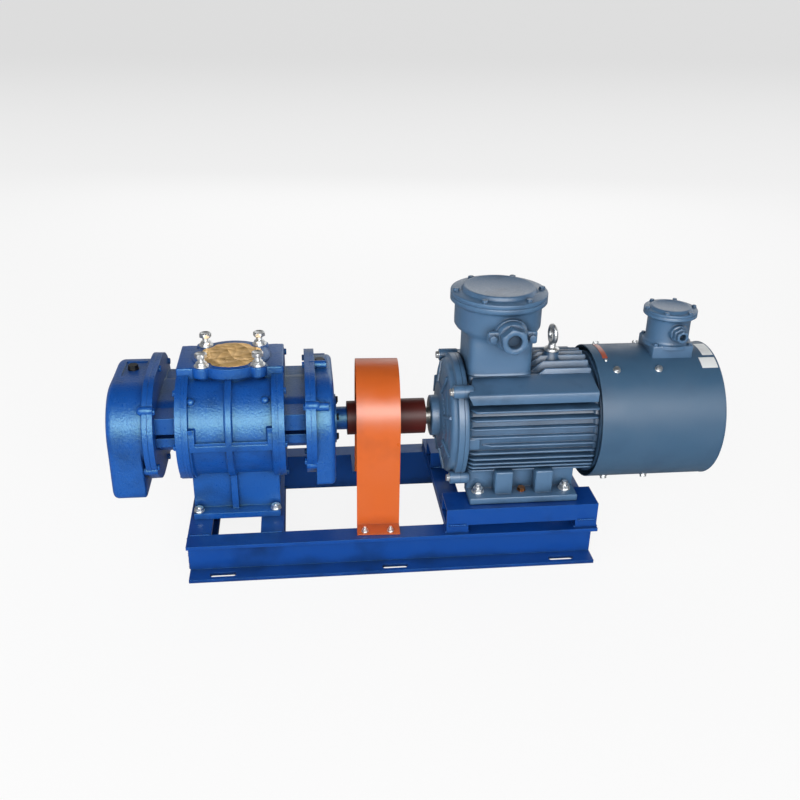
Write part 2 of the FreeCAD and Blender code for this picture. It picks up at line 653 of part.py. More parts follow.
def oil_cover(name, side, end, sump_start, drop, corner):
    """Oil cover: an oval cap with a square sump, rounded at its end."""
    def along(near, far):
        return f"blower_place + {near}" if side > 0 else f"blower_place - ({far})"

    middle = size["blower_place"]
    joint = middle + side * size["joint_face"]
    inner = middle + side * size[sump_start]
    outer = middle + side * size[end]
    cap = cover_prism(name + "_cap", joint, inner, corner, None)
    sump = cover_prism(name + "_sump", inner, outer, corner, size[drop])
    rounded = doc.addObject("Part::Fillet", "rounded")
    rounded.Base = sump
    picked = []
    for number, edge in enumerate(sump.Shape.Edges, start=1):
        if all(abs(point.Point.x - outer) < 0.01 for point in edge.Vertexes):
            picked.append((number, size["cover_fillet"], size["cover_fillet"]))
    rounded.Edges = picked

    flange = oval(along("joint_face", "joint_face + carrier_thick"), "carrier_thick", "carrier_radius")
    bosses = []
    for y, z in cover_bolt_places():
        bosses.append(rod("x", along("joint_face", "joint_face + 41"), y, z, 10, 41))
    body = fuse(cap, rounded, flange, *bosses)

    wall = "cover_wall"
    hollow = oval(along("joint_face - 1", f"{end} - {wall}"), f"{end} - {wall} - joint_face + 1",
                  "cover_radius - cover_wall")
    well = box(along(f"{sump_start} + {wall}", f"{end} - {wall}"), "drive_y - cover_radius + cover_wall",
               f"axis_height - {drop} + {wall}", f"{end} - {wall} - {sump_start} - {wall}",
               f"centre_distance + 2 * cover_radius - 2 * {wall}", f"{drop} - {wall}")
    tools = [hollow, well]
    plug_x = f"blower_place + {side} * ({end} - 43)" if side < 0 else f"blower_place + {end} - 28.5"
    tools.append(rod("z", plug_x, "drive_y + 78", "axis_height + 90", 10.2, 60))
    if side < 0:
        tools.append(box(along(f"{end} - 83", f"{end} - 21"), "drive_y + 36",
                         "axis_height + cover_radius - 2.5", 62, "centre_distance - 24", 10))
    drain_x = f"blower_place + {side} * ({end} - 26)"
    tools.append(rod("y", drain_x, "driven_y + cover_radius - 30", f"axis_height - {drop} + 24", 8.2, 40))
    glass = along(f"{end} - {wall} - 1", f"{end} + 1")
    tools.append(rod("x", glass, "driven_y + 62", "axis_height - 62", 14.2, f"{wall} + 2"))
    for y, z in cover_bolt_places():
        tools.append(rod("x", along("joint_face - 1", "joint_face + 30"), y, z, 4.2, 31))
    if side > 0:
        tools.append(rod("x", along(f"{end} - {wall} - 1", f"{end} + 1"), "drive_y", "axis_height",
                         34, f"{wall} + 2"))
        for angle in (30, 90, 150, 210, 270, 330):
            turn = math.radians(angle)
            y = f"drive_y + 50 * {math.cos(turn):.6f}"
            z = f"axis_height + 50 * {math.sin(turn):.6f}"
            tools.append(rod("x", along(f"{end} - 9", f"{end} + 1"), y, z, 4.2, 10))
    keep(name, cut(body, *tools))
    return plug_x, drain_x, glass


def blower_shells():
    blower_casing()
    side_plate("gear_side_plate", -1)
    side_plate("drive_side_plate", 1)
    plugs = []
    drains = []
    glasses = []
    for side in (-1, 1):
        if side < 0:
            name, start, corner = "gear", "gear_sump_start", size["gear_corner"]
        else:
            name, start, corner = "drive", "drive_sump_start", size["cover_radius"]
        end = name + "_cover_end"
        drop = name + "_sump_drop"
        plug_x, drain_x, glass_x = oil_cover(name + "_cover", side, end, start, drop, corner)
        top = "axis_height + cover_radius - 2.5" if side < 0 else "axis_height + cover_radius"
        plugs.append(fuse(rod("z", plug_x, "drive_y + 78", f"{top} - 8", 10, 8),
                          rod("z", plug_x, "drive_y + 78", top, 13, 3),
                          hexagon("z", plug_x, "drive_y + 78", f"{top} + 3", 12, 8)))
        back = "driven_y + cover_radius"
        low = f"axis_height - {drop} + 24"
        drains.append(fuse(rod("y", drain_x, f"{back} - 12", low, 8, 12),
                           rod("y", drain_x, back, low, 11, 3),
                           hexagon("y", drain_x, f"{back} + 3", low, 10, 7)))
        ring = rod("x", f"blower_place + {side} * {end}" if side > 0 else f"blower_place - {end} - 4",
                   "driven_y + 62", "axis_height - 62", 18, 4)
        lens = rod("x", f"{glass_x} + 1", "driven_y + 62", "axis_height - 62", 14, "cover_wall")
        glasses.append(fuse(ring, lens))
    keep("oil_plugs", group(*plugs, *drains))
    keep("oil_sight_glasses", group(*glasses))

    rim = []
    cover = []
    for side, axis in ((-1, "x"), (1, "left")):
        for angle in RIM_ANGLES:
            y, z = about_shafts(angle, 121)
            rim.append(bolt(axis, f"blower_place + {side} * plate_end", y, z, 4, "flange_thick + 11", False))
    for side, axis in ((-1, "left"), (1, "x")):
        for y, z in cover_bolt_places():
            cover.append(bolt(axis, f"blower_place + {side} * carrier_start", y, z, 4,
                              "carrier_thick + 28", False))
    keep("side_plate_bolts", group(*rim))
    keep("cover_bolts", group(*cover))

    carrier = rod("x", "blower_place + drive_cover_end", "drive_y", "axis_height", 58, 5)
    spigot = rod("x", "blower_place + drive_cover_end - cover_wall", "drive_y", "axis_height",
                 33.8, "cover_wall")
    bore = rod("x", "blower_place + drive_cover_end - 20", "drive_y", "axis_height", 30, 40)
    holes = []
    black = []
    for angle in (30, 90, 150, 210, 270, 330):
        turn = math.radians(angle)
        y = f"drive_y + 50 * {math.cos(turn):.6f}"
        z = f"axis_height + 50 * {math.sin(turn):.6f}"
        holes.append(rod("x", "blower_place + drive_cover_end - 1", y, z, 4.2, 8))
        black.append(bolt("left", "blower_place + drive_cover_end + 5", y, z, 4, 11, False))
    keep("seal_carrier", cut(fuse(carrier, spigot), bore, *holes))
    keep("seal_carrier_bolts", group(*black))
    ring = [("-cover_wall", 22.55), (3, 22.55), (3, 29.9), ("-cover_wall", 29.9)]
    keep("drive_shaft_seal", turned(ring, "blower_place + drive_cover_end", "drive_y", "axis_height"))

    foil = rod("z", "blower_place", "port_y", "port_top", 72, 1)
    keep("inlet_foil", foil)
    keep("inlet_bolts", group(*[inlet_bolt(x, y) for x, y in port_bolt_places()]))
    keep("blower_foot_bolts", group(*[bolt("down", x, y, "rail_height + foot_thick", 6, 22)
                                      for x, y in foot_bolt_places()]))


def inlet_bolt(x, y):
    """A stored flange bolt standing high, with its washer on the port face."""
    return fuse(rod("z", x, y, "port_top - 28", "port_bolt", 50), rod("z", x, y, "port_top", 17, 3),
                rod("z", x, y, "port_top + 3", 14, 2), hexagon("z", x, y, "port_top + 22", 14.5, 10),
                hexagon("z", x, y, "port_top + 5", 13, 5))


def rotors():
    step = "joint_face - bearing_width"
    mid = size["blower_place"]
    gear_start = mid - size["joint_face"] - 8 - size["gear_width"]
    bearings = []
    for name, y, tip, drive in (("drive_rotor", "drive_y", 0.0, True),
                                ("driven_rotor", "driven_y", math.pi / 2, False)):
        lobes = rolling_prism(name + "_lobes", size["centre_distance"] / 2, int(size["lobe_count"]), tip,
                              mid - size["rotor_half"], 2 * size["rotor_half"], size[y])
        far = "disc_middle - disc_gap / 2 - blower_place - 6" if drive else "joint_face - 2"
        points = [("-joint_face - gear_width - 14", 0), (far, 0), (far, "journal"),
                  ("-joint_face - gear_width - 14", "journal")]
        shaft = turned(points, "blower_place", y, "axis_height")
        keep(name, fuse(lobes, shaft))
        for side in (-1, 1):
            start = f"blower_place + {step}" if side > 0 else "blower_place - joint_face"
            ring = [(0, "journal + run_gap"), ("bearing_width", "journal + run_gap"),
                    ("bearing_width", "bearing_outer - 0.05"), (0, "bearing_outer - 0.05")]
            bearings.append(turned(ring, start, y, "axis_height"))
    keep("rotor_bearings", group(*bearings))

    teeth = int(size["gear_teeth"])
    for name, y, tip in (("drive_gear", "drive_y", 0.0), ("driven_gear", "driven_y", math.pi / teeth)):
        wheel = rolling_prism(name + "_teeth", size["centre_distance"] / 2, teeth, tip,
                              gear_start, size["gear_width"], size[y])
        bore = rod("x", gear_start - 1, y, "axis_height", "journal", "gear_width + 2")
        keep(name, cut(wheel, bore))


def coupling():
    start = "hub_start - disc_middle"
    left = [(start, "journal"), ("-disc_gap / 2", "journal"), ("-disc_gap / 2", "disc_radius"),
            ("-disc_gap / 2 - disc_thick", "disc_radius"), ("-disc_gap / 2 - disc_thick", "hub_radius - 2"),
            (start, "hub_radius - 2")]
    end = "hub_end - disc_middle"
    right = [("disc_gap / 2", "shaft_radius"), (end, "shaft_radius"), (end, "hub_radius"),
             ("disc_gap / 2 + disc_thick", "hub_radius"), ("disc_gap / 2 + disc_thick", "disc_radius"),
             ("disc_gap / 2", "disc_radius")]
    blower_half = turned(left, "disc_middle", "drive_y", "axis_height")
    motor_half = turned(right, "disc_middle", "drive_y", "axis_height")
    seats = []
    bores = []
    pins = []
    bushes = []
    for number in range(6):
        turn = math.pi / 3 * number
        y = f"drive_y + pin_circle / 2 * {math.cos(turn):.6f}"
        z = f"axis_height + pin_circle / 2 * {math.sin(turn):.6f}"
        bores.append(rod("x", "disc_middle - 40", y, z, 12.5, 40))
        seats.append(rod("x", "disc_middle", y, z, 6, 40))
        pin = fuse(rod("x", "disc_middle - disc_gap / 2 - disc_thick + 2", y, z, 6,
                       "2 * disc_thick + disc_gap - 2"),
                   hexagon("x", "disc_middle + disc_gap / 2 + disc_thick", y, z, 10, 6))
        pins.append(pin)
        bush = rod("x", "disc_middle - disc_gap / 2 - disc_thick + 2", y, z, 12.1, "disc_thick - 4")
        bushes.append(cut(bush, rod("x", "disc_middle - 40", y, z, 6, 40)))
    keep("coupling_hub_blower", cut(blower_half, *bores))
    keep("coupling_hub_motor", cut(motor_half, *seats))
    keep("coupling_pins", group(*pins))
    keep("coupling_bushes", group(*bushes))
    length = "hub_start - blower_place - drive_cover_end - 5"
    sleeve = [(0, "journal"), (length, "journal"), (length, "sleeve_radius"), (0, "sleeve_radius")]
    keep("shaft_sleeve", turned(sleeve, "blower_place + drive_cover_end + 4", "drive_y", "axis_height"))


def guard():
    """A strip bent into an arch: two legs, a half circle and feet turned outward."""
    half = size["guard_half"]
    sheet_thick = size["guard_sheet"]
    foot = size["guard_foot"]
    low = size["rail_height"]
    spring = size["guard_top"] - half

    def at(y, z):
        return FreeCAD.Vector(-size["guard_width"] / 2, y, z)

    def strip_edge(offset):
        """Edges of the strip on one side: offset 0 is outside."""
        reach = half - offset
        foot_z = low + sheet_thick - offset
        return [
            Part.LineSegment(at(-half - foot, foot_z), at(-reach, foot_z)),
            Part.LineSegment(at(-reach, foot_z), at(-reach, spring)),
            Part.Arc(at(-reach, spring), at(0, spring + reach), at(reach, spring)),
            Part.LineSegment(at(reach, spring), at(reach, foot_z)),
            Part.LineSegment(at(reach, foot_z), at(half + foot, foot_z)),
        ]

    outer = strip_edge(0)
    inner = strip_edge(sheet_thick)
    ends = [Part.LineSegment(outer[0].StartPoint, inner[0].StartPoint),
            Part.LineSegment(outer[-1].EndPoint, inner[-1].EndPoint)]
    edges = [curve.toShape() for curve in outer + ends[1:] + inner[::-1] + ends[:1]]
    face = Part.Face(Part.Wire(Part.__sortEdges__(edges)))
    strip = doc.addObject("Part::Feature", "guard_strip")
    strip.Shape = face.extrude(FreeCAD.Vector(size["guard_width"], 0, 0))
    strip.Placement.Rotation = FreeCAD.Rotation(FreeCAD.Vector(0, 0, 1), size["guard_turn"])
    strip.Placement.Base = FreeCAD.Vector(size["guard_place"], size["drive_y"], 0)
    places = guard_bolt_places(-1) + guard_bolt_places(1)
    holes = [rod("z", x, y, "rail_height - 1", 4.2, 8) for x, y in places]
    keep("coupling_guard", cut(strip, *holes))
    keep("guard_bolts", group(*[bolt("down", x, y, "rail_height + guard_sheet", 4, 15) for x, y in places]))


# side fins: (height of the middle, reach from the axis), and places of the top fins across
SIDE_FINS = ((70, 140), (48, 140), (26, 140), (4, 140), (-17, 140), (-36, 140), (-52, 139),
             (-66, 135), (-79, 129), (-91, 122))
TOP_FINS = (-62, -37, -12, 13, 38, 63)


def motor_place(distance):
    return f"shoulder + {distance}"


def motor_frame():
    start = motor_place("frame_start")
    barrel = rod("x", start, "drive_y", "axis_height", "frame_radius", "frame_length")
    rear_rim = rod("x", motor_place("frame_end - 14"), "drive_y", "axis_height", "shield_radius", 14)
    front_rim = rod("x", start, "drive_y", "axis_height", "shield_radius", 12)
    pieces = [barrel, rear_rim, front_rim]
    fin_x = motor_place("frame_start + 4")
    fin_length = "frame_length - 12"
    for height, reach in SIDE_FINS:
        pieces.append(box(fin_x, f"drive_y - {reach}", f"axis_height + {height} - fin_thick / 2",
                          fin_length, 2 * reach, "fin_thick"))
    pieces.append(box(fin_x, "drive_y - fin_reach", "axis_height + 88", fin_length, "2 * fin_reach", 25))
    for across in TOP_FINS:
        height = math.sqrt(size["fin_radius"] ** 2 - across ** 2)
        pieces.append(box(motor_place("box_place + 86"), f"drive_y + {across} - fin_thick / 2",
                          "axis_height", "frame_end - box_place - 96", "fin_thick", height))
    for side in (-1, 1):
        edge = f"drive_y + {side} * foot_width / 2"
        plate_y = edge if side < 0 else f"{edge} - 80"
        pieces.append(box("motor_foot_x - 24", plate_y, "pad_top", "foot_length", 80, "foot_plate"))
        wall_y = "drive_y - foot_width / 2 + 50" if side < 0 else "drive_y + foot_width / 2 - 66"
        pieces.append(box("motor_foot_x - 24", wall_y, "pad_top", "foot_length", 16,
                          "axis_height - pad_top - 60"))
        for place in (38, 134):
            gusset_y = "drive_y - foot_width / 2 + 18" if side < 0 else "drive_y + foot_width / 2 - 60"
            pieces.append(box(f"motor_foot_x + {place}", gusset_y, "pad_top", 42, 42,
                              "axis_height - pad_top - 88"))
    saddle = box("shoulder + box_place - box_neck / 2", "drive_y - box_neck / 2", "axis_height + 60",
                 "box_neck", "box_neck", "box_seat - 60")
    eye_boss = rod("z", motor_place(293), "drive_y", "axis_height + 100", 16, 62)
    lug = box(motor_place("frame_start"), "drive_y - fin_reach", "axis_height - 24", 38, 60, 28)
    rear_lug = box(motor_place("frame_end - 26"), "drive_y - fin_reach", "axis_height - 40", 20, 40, 44)
    body = fuse(*pieces, saddle, eye_boss, lug, rear_lug)
    tools = [rod("x", motor_place("frame_start - 20"), "drive_y", "axis_height",
                 "frame_bore", "frame_length + 40"),
             rod("z", motor_place("box_place"), "drive_y", "axis_height + 90", 35, 60),
             rod("z", motor_place(293), "drive_y", "axis_height + 130", 8.2, 40)]
    for i in (0, 1):
        for side in (-1, 1):
            tools.append(rod("z", f"motor_foot_x + {i} * foot_pitch_x",
                             f"drive_y + {side} * foot_pitch_y / 2", "pad_top - 1", 7.3, "foot_plate + 2"))
    tools.append(rod("z", "motor_foot_x + foot_pitch_x / 2", "drive_y - foot_pitch_y / 2",
                     "pad_top + 5", 5.2, 14))
    for angle in (45, 135, 225, 315):
        y, z = shield_bolt_place(angle)
        tools.append(rod("x", motor_place("frame_start - 1"), y, z, 5.2, 14))
    ears = []
    for angle in (45, 135, 225, 315):
        y, z = shield_bolt_place(angle)
        ears.append(rod("x", start, y, z, 15, 22))
    keep("motor_frame", cut(fuse(body, *ears), *tools))


def shield_bolt_place(angle):
    turn = math.radians(angle)
    return f"drive_y + ear_radius * {math.cos(turn):.6f}", f"axis_height + ear_radius * {math.sin(turn):.6f}"


def end_shields():
    points = [(5, 27), (5, 49), (24, 49), (28, 70), (42, 138), (42, "shield_radius"),
              ("frame_start", "shield_radius"), ("frame_start", "frame_bore - 0.1"),
              ("frame_start + 10", "frame_bore - 0.1"), ("frame_start + 10", 104), (66, 104), (60, 66),
              (60, "bearing_outer + 0.05"), (31, "bearing_outer + 0.05"), (31, 30), (12, 30), (12, 27)]
    disc = turned(points, "shoulder", "drive_y", "axis_height")
    ears = []
    holes = []
    bolts = []
    for angle in (45, 135, 225, 315):
        y, z = shield_bolt_place(angle)
        ears.append(rod("x", motor_place("frame_start - 25"), y, z, 15, 25))
        holes.append(rod("x", motor_place("frame_start - 26"), y, z, 5.2, 27))
        bolts.append(bolt("x", motor_place("frame_start - 25"), y, z, 5, 36))
    ribs = []
    for number in range(8):
        rib = box(motor_place(27), "drive_y - 3", "axis_height + 50", 18, 6, 92)
        ribs.append(turned_copy(rib, 22.5 + 45 * number))
    keep("drive_end_shield", cut(fuse(disc, *ears, *ribs), *holes))
    keep("shield_bolts", group(*bolts))

    rear = [("frame_end - 10", "frame_bore - 0.1"), ("frame_end", "frame_bore - 0.1"), ("frame_end", 148),
            ("frame_end + 10", 148), ("frame_end + 10", 60), ("frame_end + 24", 50),
            ("frame_end + 24", 26.6), ("frame_end + 20", 26.6), ("frame_end + 20", 45.05),
            ("frame_end - 5", 45.05), ("frame_end - 5", 60), ("frame_end - 10", 100)]
    keep("rear_end_shield", turned(rear, "shoulder", "drive_y", "axis_height"))
    front_ring = [(32, "journal + run_gap"), (57, "journal + run_gap"), (57, "bearing_outer"),
                  (32, "bearing_outer")]
    rear_ring = [("frame_end - 4", 20.05), ("frame_end + 19", 20.05), ("frame_end + 19", 45),
                 ("frame_end - 4", 45)]
    keep("motor_bearings", group(turned(front_ring, "shoulder", "drive_y", "axis_height"),
                                 turned(rear_ring, "shoulder", "drive_y", "axis_height")))


def turned_copy(block, degrees):
    """A radial rib: the block turned about the motor shaft line."""
    centre = FreeCAD.Vector(0, size["drive_y"], size["axis_height"])
    doc.recompute()
    rib = doc.addObject("Part::Feature", "rib")
    shape = block.Shape.copy()
    shape.rotate(centre, FreeCAD.Vector(1, 0, 0), degrees)
    rib.Shape = shape
    return rib


def motor_inside():
    core = [("frame_start + 55", 75.5), ("frame_start + 255", 75.5),
            ("frame_start + 255", "frame_bore - 0.1"), ("frame_start + 55", "frame_bore - 0.1")]
    keep("stator_core", turned(core, "shoulder", "drive_y", "axis_height"))
    winding = []
    for start in (28, 255):
        ring = [(f"frame_start + {start}", 78), (f"frame_start + {start + 27}", 78),
                (f"frame_start + {start + 27}", 104), (f"frame_start + {start}", 104)]
        winding.append(turned(ring, "shoulder", "drive_y", "axis_height"))
    keep("stator_windings", group(*winding))
    shaft = [("-shaft_out", 0), ("frame_end + 19", 0), ("frame_end + 19", 20), ("frame_end - 4", 20),
             ("frame_end - 8", 26), (58, 26), (58, "journal"), (0, "journal"), (0, "shaft_radius"),
             ("-shaft_out", "shaft_radius")]
    keep("motor_shaft", turned(shaft, "shoulder", "drive_y", "axis_height"))
    rotor = [("frame_start + 55", 26), ("frame_start + 255", 26), ("frame_start + 255", 75),
             ("frame_start + 55", 75)]
    keep("motor_rotor_core", turned(rotor, "shoulder", "drive_y", "axis_height"))


FAN_SCREW_ANGLES = (60, 120, 240, 300)


def cowl_screws(place):
    """Screw places round the cowl, as a turn about the shaft line."""
    screws = []
    for angle in FAN_SCREW_ANGLES:
        turn = math.radians(angle)
        centre = FreeCAD.Vector(size["shoulder"] + place, size["drive_y"], size["axis_height"])
        out = FreeCAD.Vector(0, math.cos(turn), math.sin(turn))
        foot = centre + out * (size["cowl_radius"] + 0.02)
        head = Part.makeCylinder(6.5, 5, foot, out)
        washer = Part.makeCylinder(9, 1.5, foot, out)
        screw = doc.addObject("Part::Feature", "screw")
        screw.Shape = head.fuse(washer).removeSplitter()
        screws.append(screw)
    return screws


def cowl_and_fan():
    tube = [("cowl_start", "cowl_radius - cowl_sheet"), ("cowl_end", "cowl_radius - cowl_sheet"),
            ("cowl_end", "cowl_radius"), ("cowl_start", "cowl_radius")]
    wire_hole = rod("z", motor_place("fan_box_place"), "drive_y", "axis_height + 140", 15, 40)
    keep("fan_cowl", cut(turned(tube, "shoulder", "drive_y", "axis_height"), wire_hole))
    keep("cowl_screws", group(*cowl_screws(429), *cowl_screws(530)))

    grille = rod("x", motor_place("cowl_end - 4"), "drive_y", "axis_height",
                 "cowl_radius - cowl_sheet - 0.1", 3)
    openings = []
    for number in range(5):
        inner = 30 + 25 * number
        ring = cut(rod("x", motor_place("cowl_end - 5"), "drive_y", "axis_height", inner + 17, 6),
                   rod("x", motor_place("cowl_end - 5"), "drive_y", "axis_height", inner, 6))
        openings.append(ring)
    spokes = [box(motor_place("cowl_end - 4"), "drive_y - 155", "axis_height - 5", 3, 310, 10),
              box(motor_place("cowl_end - 4"), "drive_y - 5", "axis_height - 155", 3, 10, 310)]
    keep("rear_grille", fuse(cut(grille, *openings), *spokes))

    case = turned([(500, 9.5), (500, 62), (612, 62), (618, 50), (618, 0), (560, 0), (560, 9.5)],
                  "shoulder", "drive_y", "axis_height")
    arms = []
    for angle in FAN_SCREW_ANGLES:
        turn = math.radians(angle)
        arm = box(motor_place(518), "drive_y - 10", "axis_height + 58", 24, 20, 101)
        arms.append(turned_copy(arm, angle - 90))
    tube_inside = rod("x", motor_place(510), "drive_y", "axis_height", "cowl_radius - cowl_sheet - 0.05", 40)
    keep("fan_motor", fuse(case, common(group(*arms), tube_inside)))

    hub = turned([(430, 0), (558, 0), (558, 9.4), (478, 9.4), (478, 34), (430, 34)],
                 "shoulder", "drive_y", "axis_height")
    blades = []
    for number in range(8):
        blade = Part.makeBox(3, 46, 118)
        blade.translate(FreeCAD.Vector(-1.5, -23, 30))
        blade.rotate(FreeCAD.Vector(0, 0, 0), FreeCAD.Vector(0, 0, 1), 55)
        blade.rotate(FreeCAD.Vector(0, 0, 0), FreeCAD.Vector(1, 0, 0), 45 * number)
        blade.translate(FreeCAD.Vector(size["shoulder"] + 454, size["drive_y"], size["axis_height"]))
        wing = doc.addObject("Part::Feature", "blade")
        wing.Shape = blade
        blades.append(wing)
    keep("fan_impeller", fuse(hub, *blades))


def terminal_box():
    place = motor_place("box_place")
    neck = rounded_block("shoulder + box_place - box_neck / 2", "drive_y - box_neck / 2",
                         "axis_height + box_seat", "box_neck", "box_neck", "box_drum_low - box_seat - 5", 24)
    ring = [(70, "box_drum_low - 26"), (80, "box_drum_low - 26"), ("box_radius", "box_drum_low"),
            ("box_radius", "box_face - 17"), ("box_rim", "box_face - 12"), ("box_rim", "box_face"),
            ("box_radius - 10", "box_face"), ("box_radius - 10", "box_drum_low + 4"),
            (70, "box_drum_low - 10")]
    drum = turned_up(ring, place, "drive_y", "axis_height")
    boss_z = "axis_height + box_entry"
    boss = rod("front", f"{place} + 9.5", "drive_y - 70", boss_z, 39, 40)
    shaft = box(f"{place} - 50", "drive_y - 50", "axis_height + 120", 100, 100, 136)
    gland_hole = rod("front", f"{place} + 9.5", "drive_y - 40", boss_z, 20, 72)
    keep("terminal_box_body", cut(fuse(neck, drum, boss), shaft, gland_hole))

    flange = rod("z", place, "drive_y", "axis_height + box_face", "box_rim", "lid_thick - 4")
    dome = cone("z", place, "drive_y", "axis_height + box_face + lid_thick - 4", 86, 78, 10)
    spigot = rod("z", place, "drive_y", "axis_height + box_face - 8", "box_radius - 10.2", 8)
    lid_holes = []
    bolts = []
    for number in range(6):
        turn = math.radians(60 * number)
        x = f"{place} + 100 * {math.cos(turn):.6f}"
        y = f"drive_y + 100 * {math.sin(turn):.6f}"
        lid_holes.append(rod("z", x, y, "axis_height + box_face - 9", 4.2, 30))
        bolts.append(bolt("down", x, y, "axis_height + box_face + lid_thick - 4", 4, 9))
    keep("terminal_box_lid", cut(fuse(flange, dome, spigot), *lid_holes))

    seat = "drive_y - 110"
    gx = f"{place} + 9.5"
    flange_bar = box(f"{gx} - 56", f"{seat} - 12", f"{boss_z} - 15", 112, 12, 30)
    ring = rod("front", gx, seat, boss_z, 32, 14)
    nut = hexagon("front", gx, f"{seat} - 14", boss_z, 31, 26)
    stub = rod("front", gx, f"{seat} + 20", boss_z, 19.8, 20)
    bore = rod("front", gx, f"{seat} + 21", boss_z, 16, 70)
    clamp = [hexagon("front", f"{gx} + {step}", f"{seat} - 12", boss_z, 8, 6) for step in (-44, 44)]
    keep("terminal_box_gland", cut(fuse(flange_bar, ring, nut, stub, *clamp), bore))
    block = box(f"{place} - 40", "drive_y - 20", "axis_height + box_seat", 80, 40, 30)
    studs = [rod("z", f"{place} + {step}", "drive_y", "axis_height + box_seat + 28", 4, 22)
             for step in (-26, 0, 26)]
    keep("terminal_board", fuse(block, *studs))
    return bolts


def fan_terminal_box():
    place = motor_place("fan_box_place")
    base = box(f"{place} - fan_box_base / 2", "drive_y - fan_box_base / 2", "axis_height + 120",
               "fan_box_base", "fan_box_base", 64)
    cowl = rod("x", motor_place("cowl_start"), "drive_y", "axis_height", "cowl_radius + 0.02", 300)
    drum = rod("z", place, "drive_y", "axis_height + 180", "fan_box_radius", "fan_box_face - 180")
    rim = rod("z", place, "drive_y", "axis_height + fan_box_face - 8", "fan_box_rim", 8)
    boss = rod("front", f"{place} + 4", "drive_y - 30", "axis_height + fan_box_entry", 20, 30)
    inside = rod("z", place, "drive_y", "axis_height + 172", "fan_box_radius - 7", 80)
    wire = rod("z", place, "drive_y", "axis_height + 150", 15, 40)
    gland_hole = rod("front", f"{place} + 4", "drive_y - 20", "axis_height + fan_box_entry", 10, 45)
    corners = [(f"{place} + {i} * (fan_box_base / 2 - 8)", f"drive_y + {j} * (fan_box_base / 2 - 8)")
               for i in (-1, 1) for j in (-1, 1)]
    holes = [rod("z", x, y, "axis_height + 170", 3.2, 20) for x, y in corners]
    keep("fan_box_body", cut(fuse(cut(base, cowl), drum, rim, boss), inside, wire, gland_hole, *holes))

    flange = rod("z", place, "drive_y", "axis_height + fan_box_face", "fan_box_rim", "fan_lid_thick - 3")
    dome = cone("z", place, "drive_y", "axis_height + fan_box_face + fan_lid_thick - 3", 47, 43, 5)
    lid_holes = []
    bolts = []
    for number in range(6):
        turn = math.radians(60 * number)
        x = f"{place} + 56.5 * {math.cos(turn):.6f}"
        y = f"drive_y + 56.5 * {math.sin(turn):.6f}"
        lid_holes.append(rod("z", x, y, "axis_height + fan_box_face - 1", 3.2, 20))
        bolts.append(bolt("down", x, y, "axis_height + fan_box_face + fan_lid_thick - 3", 3, 6.5))
    keep("fan_box_lid", cut(fuse(flange, dome), *lid_holes))
    bolts += [bolt("down", x, y, "axis_height + 184", 3, 10) for x, y in corners]
    gx = f"{place} + 4"
    gz = "axis_height + fan_box_entry"
    seat = "drive_y - 60"
    gland = fuse(rod("front", gx, f"{seat} + 12", gz, 9.8, 12), hexagon("front", gx, seat, gz, 16.5, 12),
                 rod("front", gx, f"{seat} - 12", gz, 12, 6))
    keep("fan_box_gland", cut(gland, rod("front", gx, f"{seat} + 13", gz, 7, 40)))
    return bolts


def motor_trim():
    bolts = terminal_box() + fan_terminal_box()
    keep("box_bolts", group(*bolts))
    eye_x = motor_place(293)
    seat = "axis_height + 162"
    ring = doc.addObject("Part::Torus", "ring")
    ring.Placement.Rotation = FreeCAD.Rotation(FreeCAD.Vector(0, 0, 1), 4) * TURNS["x"]
    bind(ring, base_x=eye_x, base_y="drive_y", base_z=f"{seat} + 41", Radius1=19, Radius2=6)
    keep("lifting_eye", fuse(ring, rod("z", eye_x, "drive_y", seat, 18, 7),
                             rod("z", eye_x, "drive_y", f"{seat} - 26", 8, 48)))
    feet = [bolt("down", f"motor_foot_x + {i} * foot_pitch_x", f"drive_y + {side} * foot_pitch_y / 2",
                 "pad_top + foot_plate", 7, 32) for i in (0, 1) for side in (-1, 1)]
    keep("motor_foot_bolts", group(*feet))
    keep("earth_bolt", bolt("down", "motor_foot_x + foot_pitch_x / 2", "drive_y - foot_pitch_y / 2",
                            "pad_top + foot_plate", 5, 10))


base_frame()
blower_shells()
rotors()
coupling()
guard()
motor_frame()
end_shields()
motor_inside()
cowl_and_fan()
motor_trim()
doc.recompute()

faults = [thing.Name for thing in doc.Objects if "Invalid" in thing.State or "Error" in thing.State]
if faults:
    raise RuntimeError("failed objects: " + ", ".join(faults))
for name, thing in parts.items():
    if thing.Shape.isNull() or not thing.Shape.isValid():
        raise RuntimeError("bad shape: " + name)

os.makedirs("parts", exist_ok=True)
for name, thing in parts.items():
    thing.Shape.exportStep(f"parts/{name}.step")
    print(f"{name:22s} solids {len(thing.Shape.Solids):3d}  volume {thing.Shape.Volume / 1000:10.1f} cm3")
print(len(parts), "nodes")
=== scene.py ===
import json
import math

import bmesh
import bpy
import numpy as np
from mathutils import Matrix, Vector


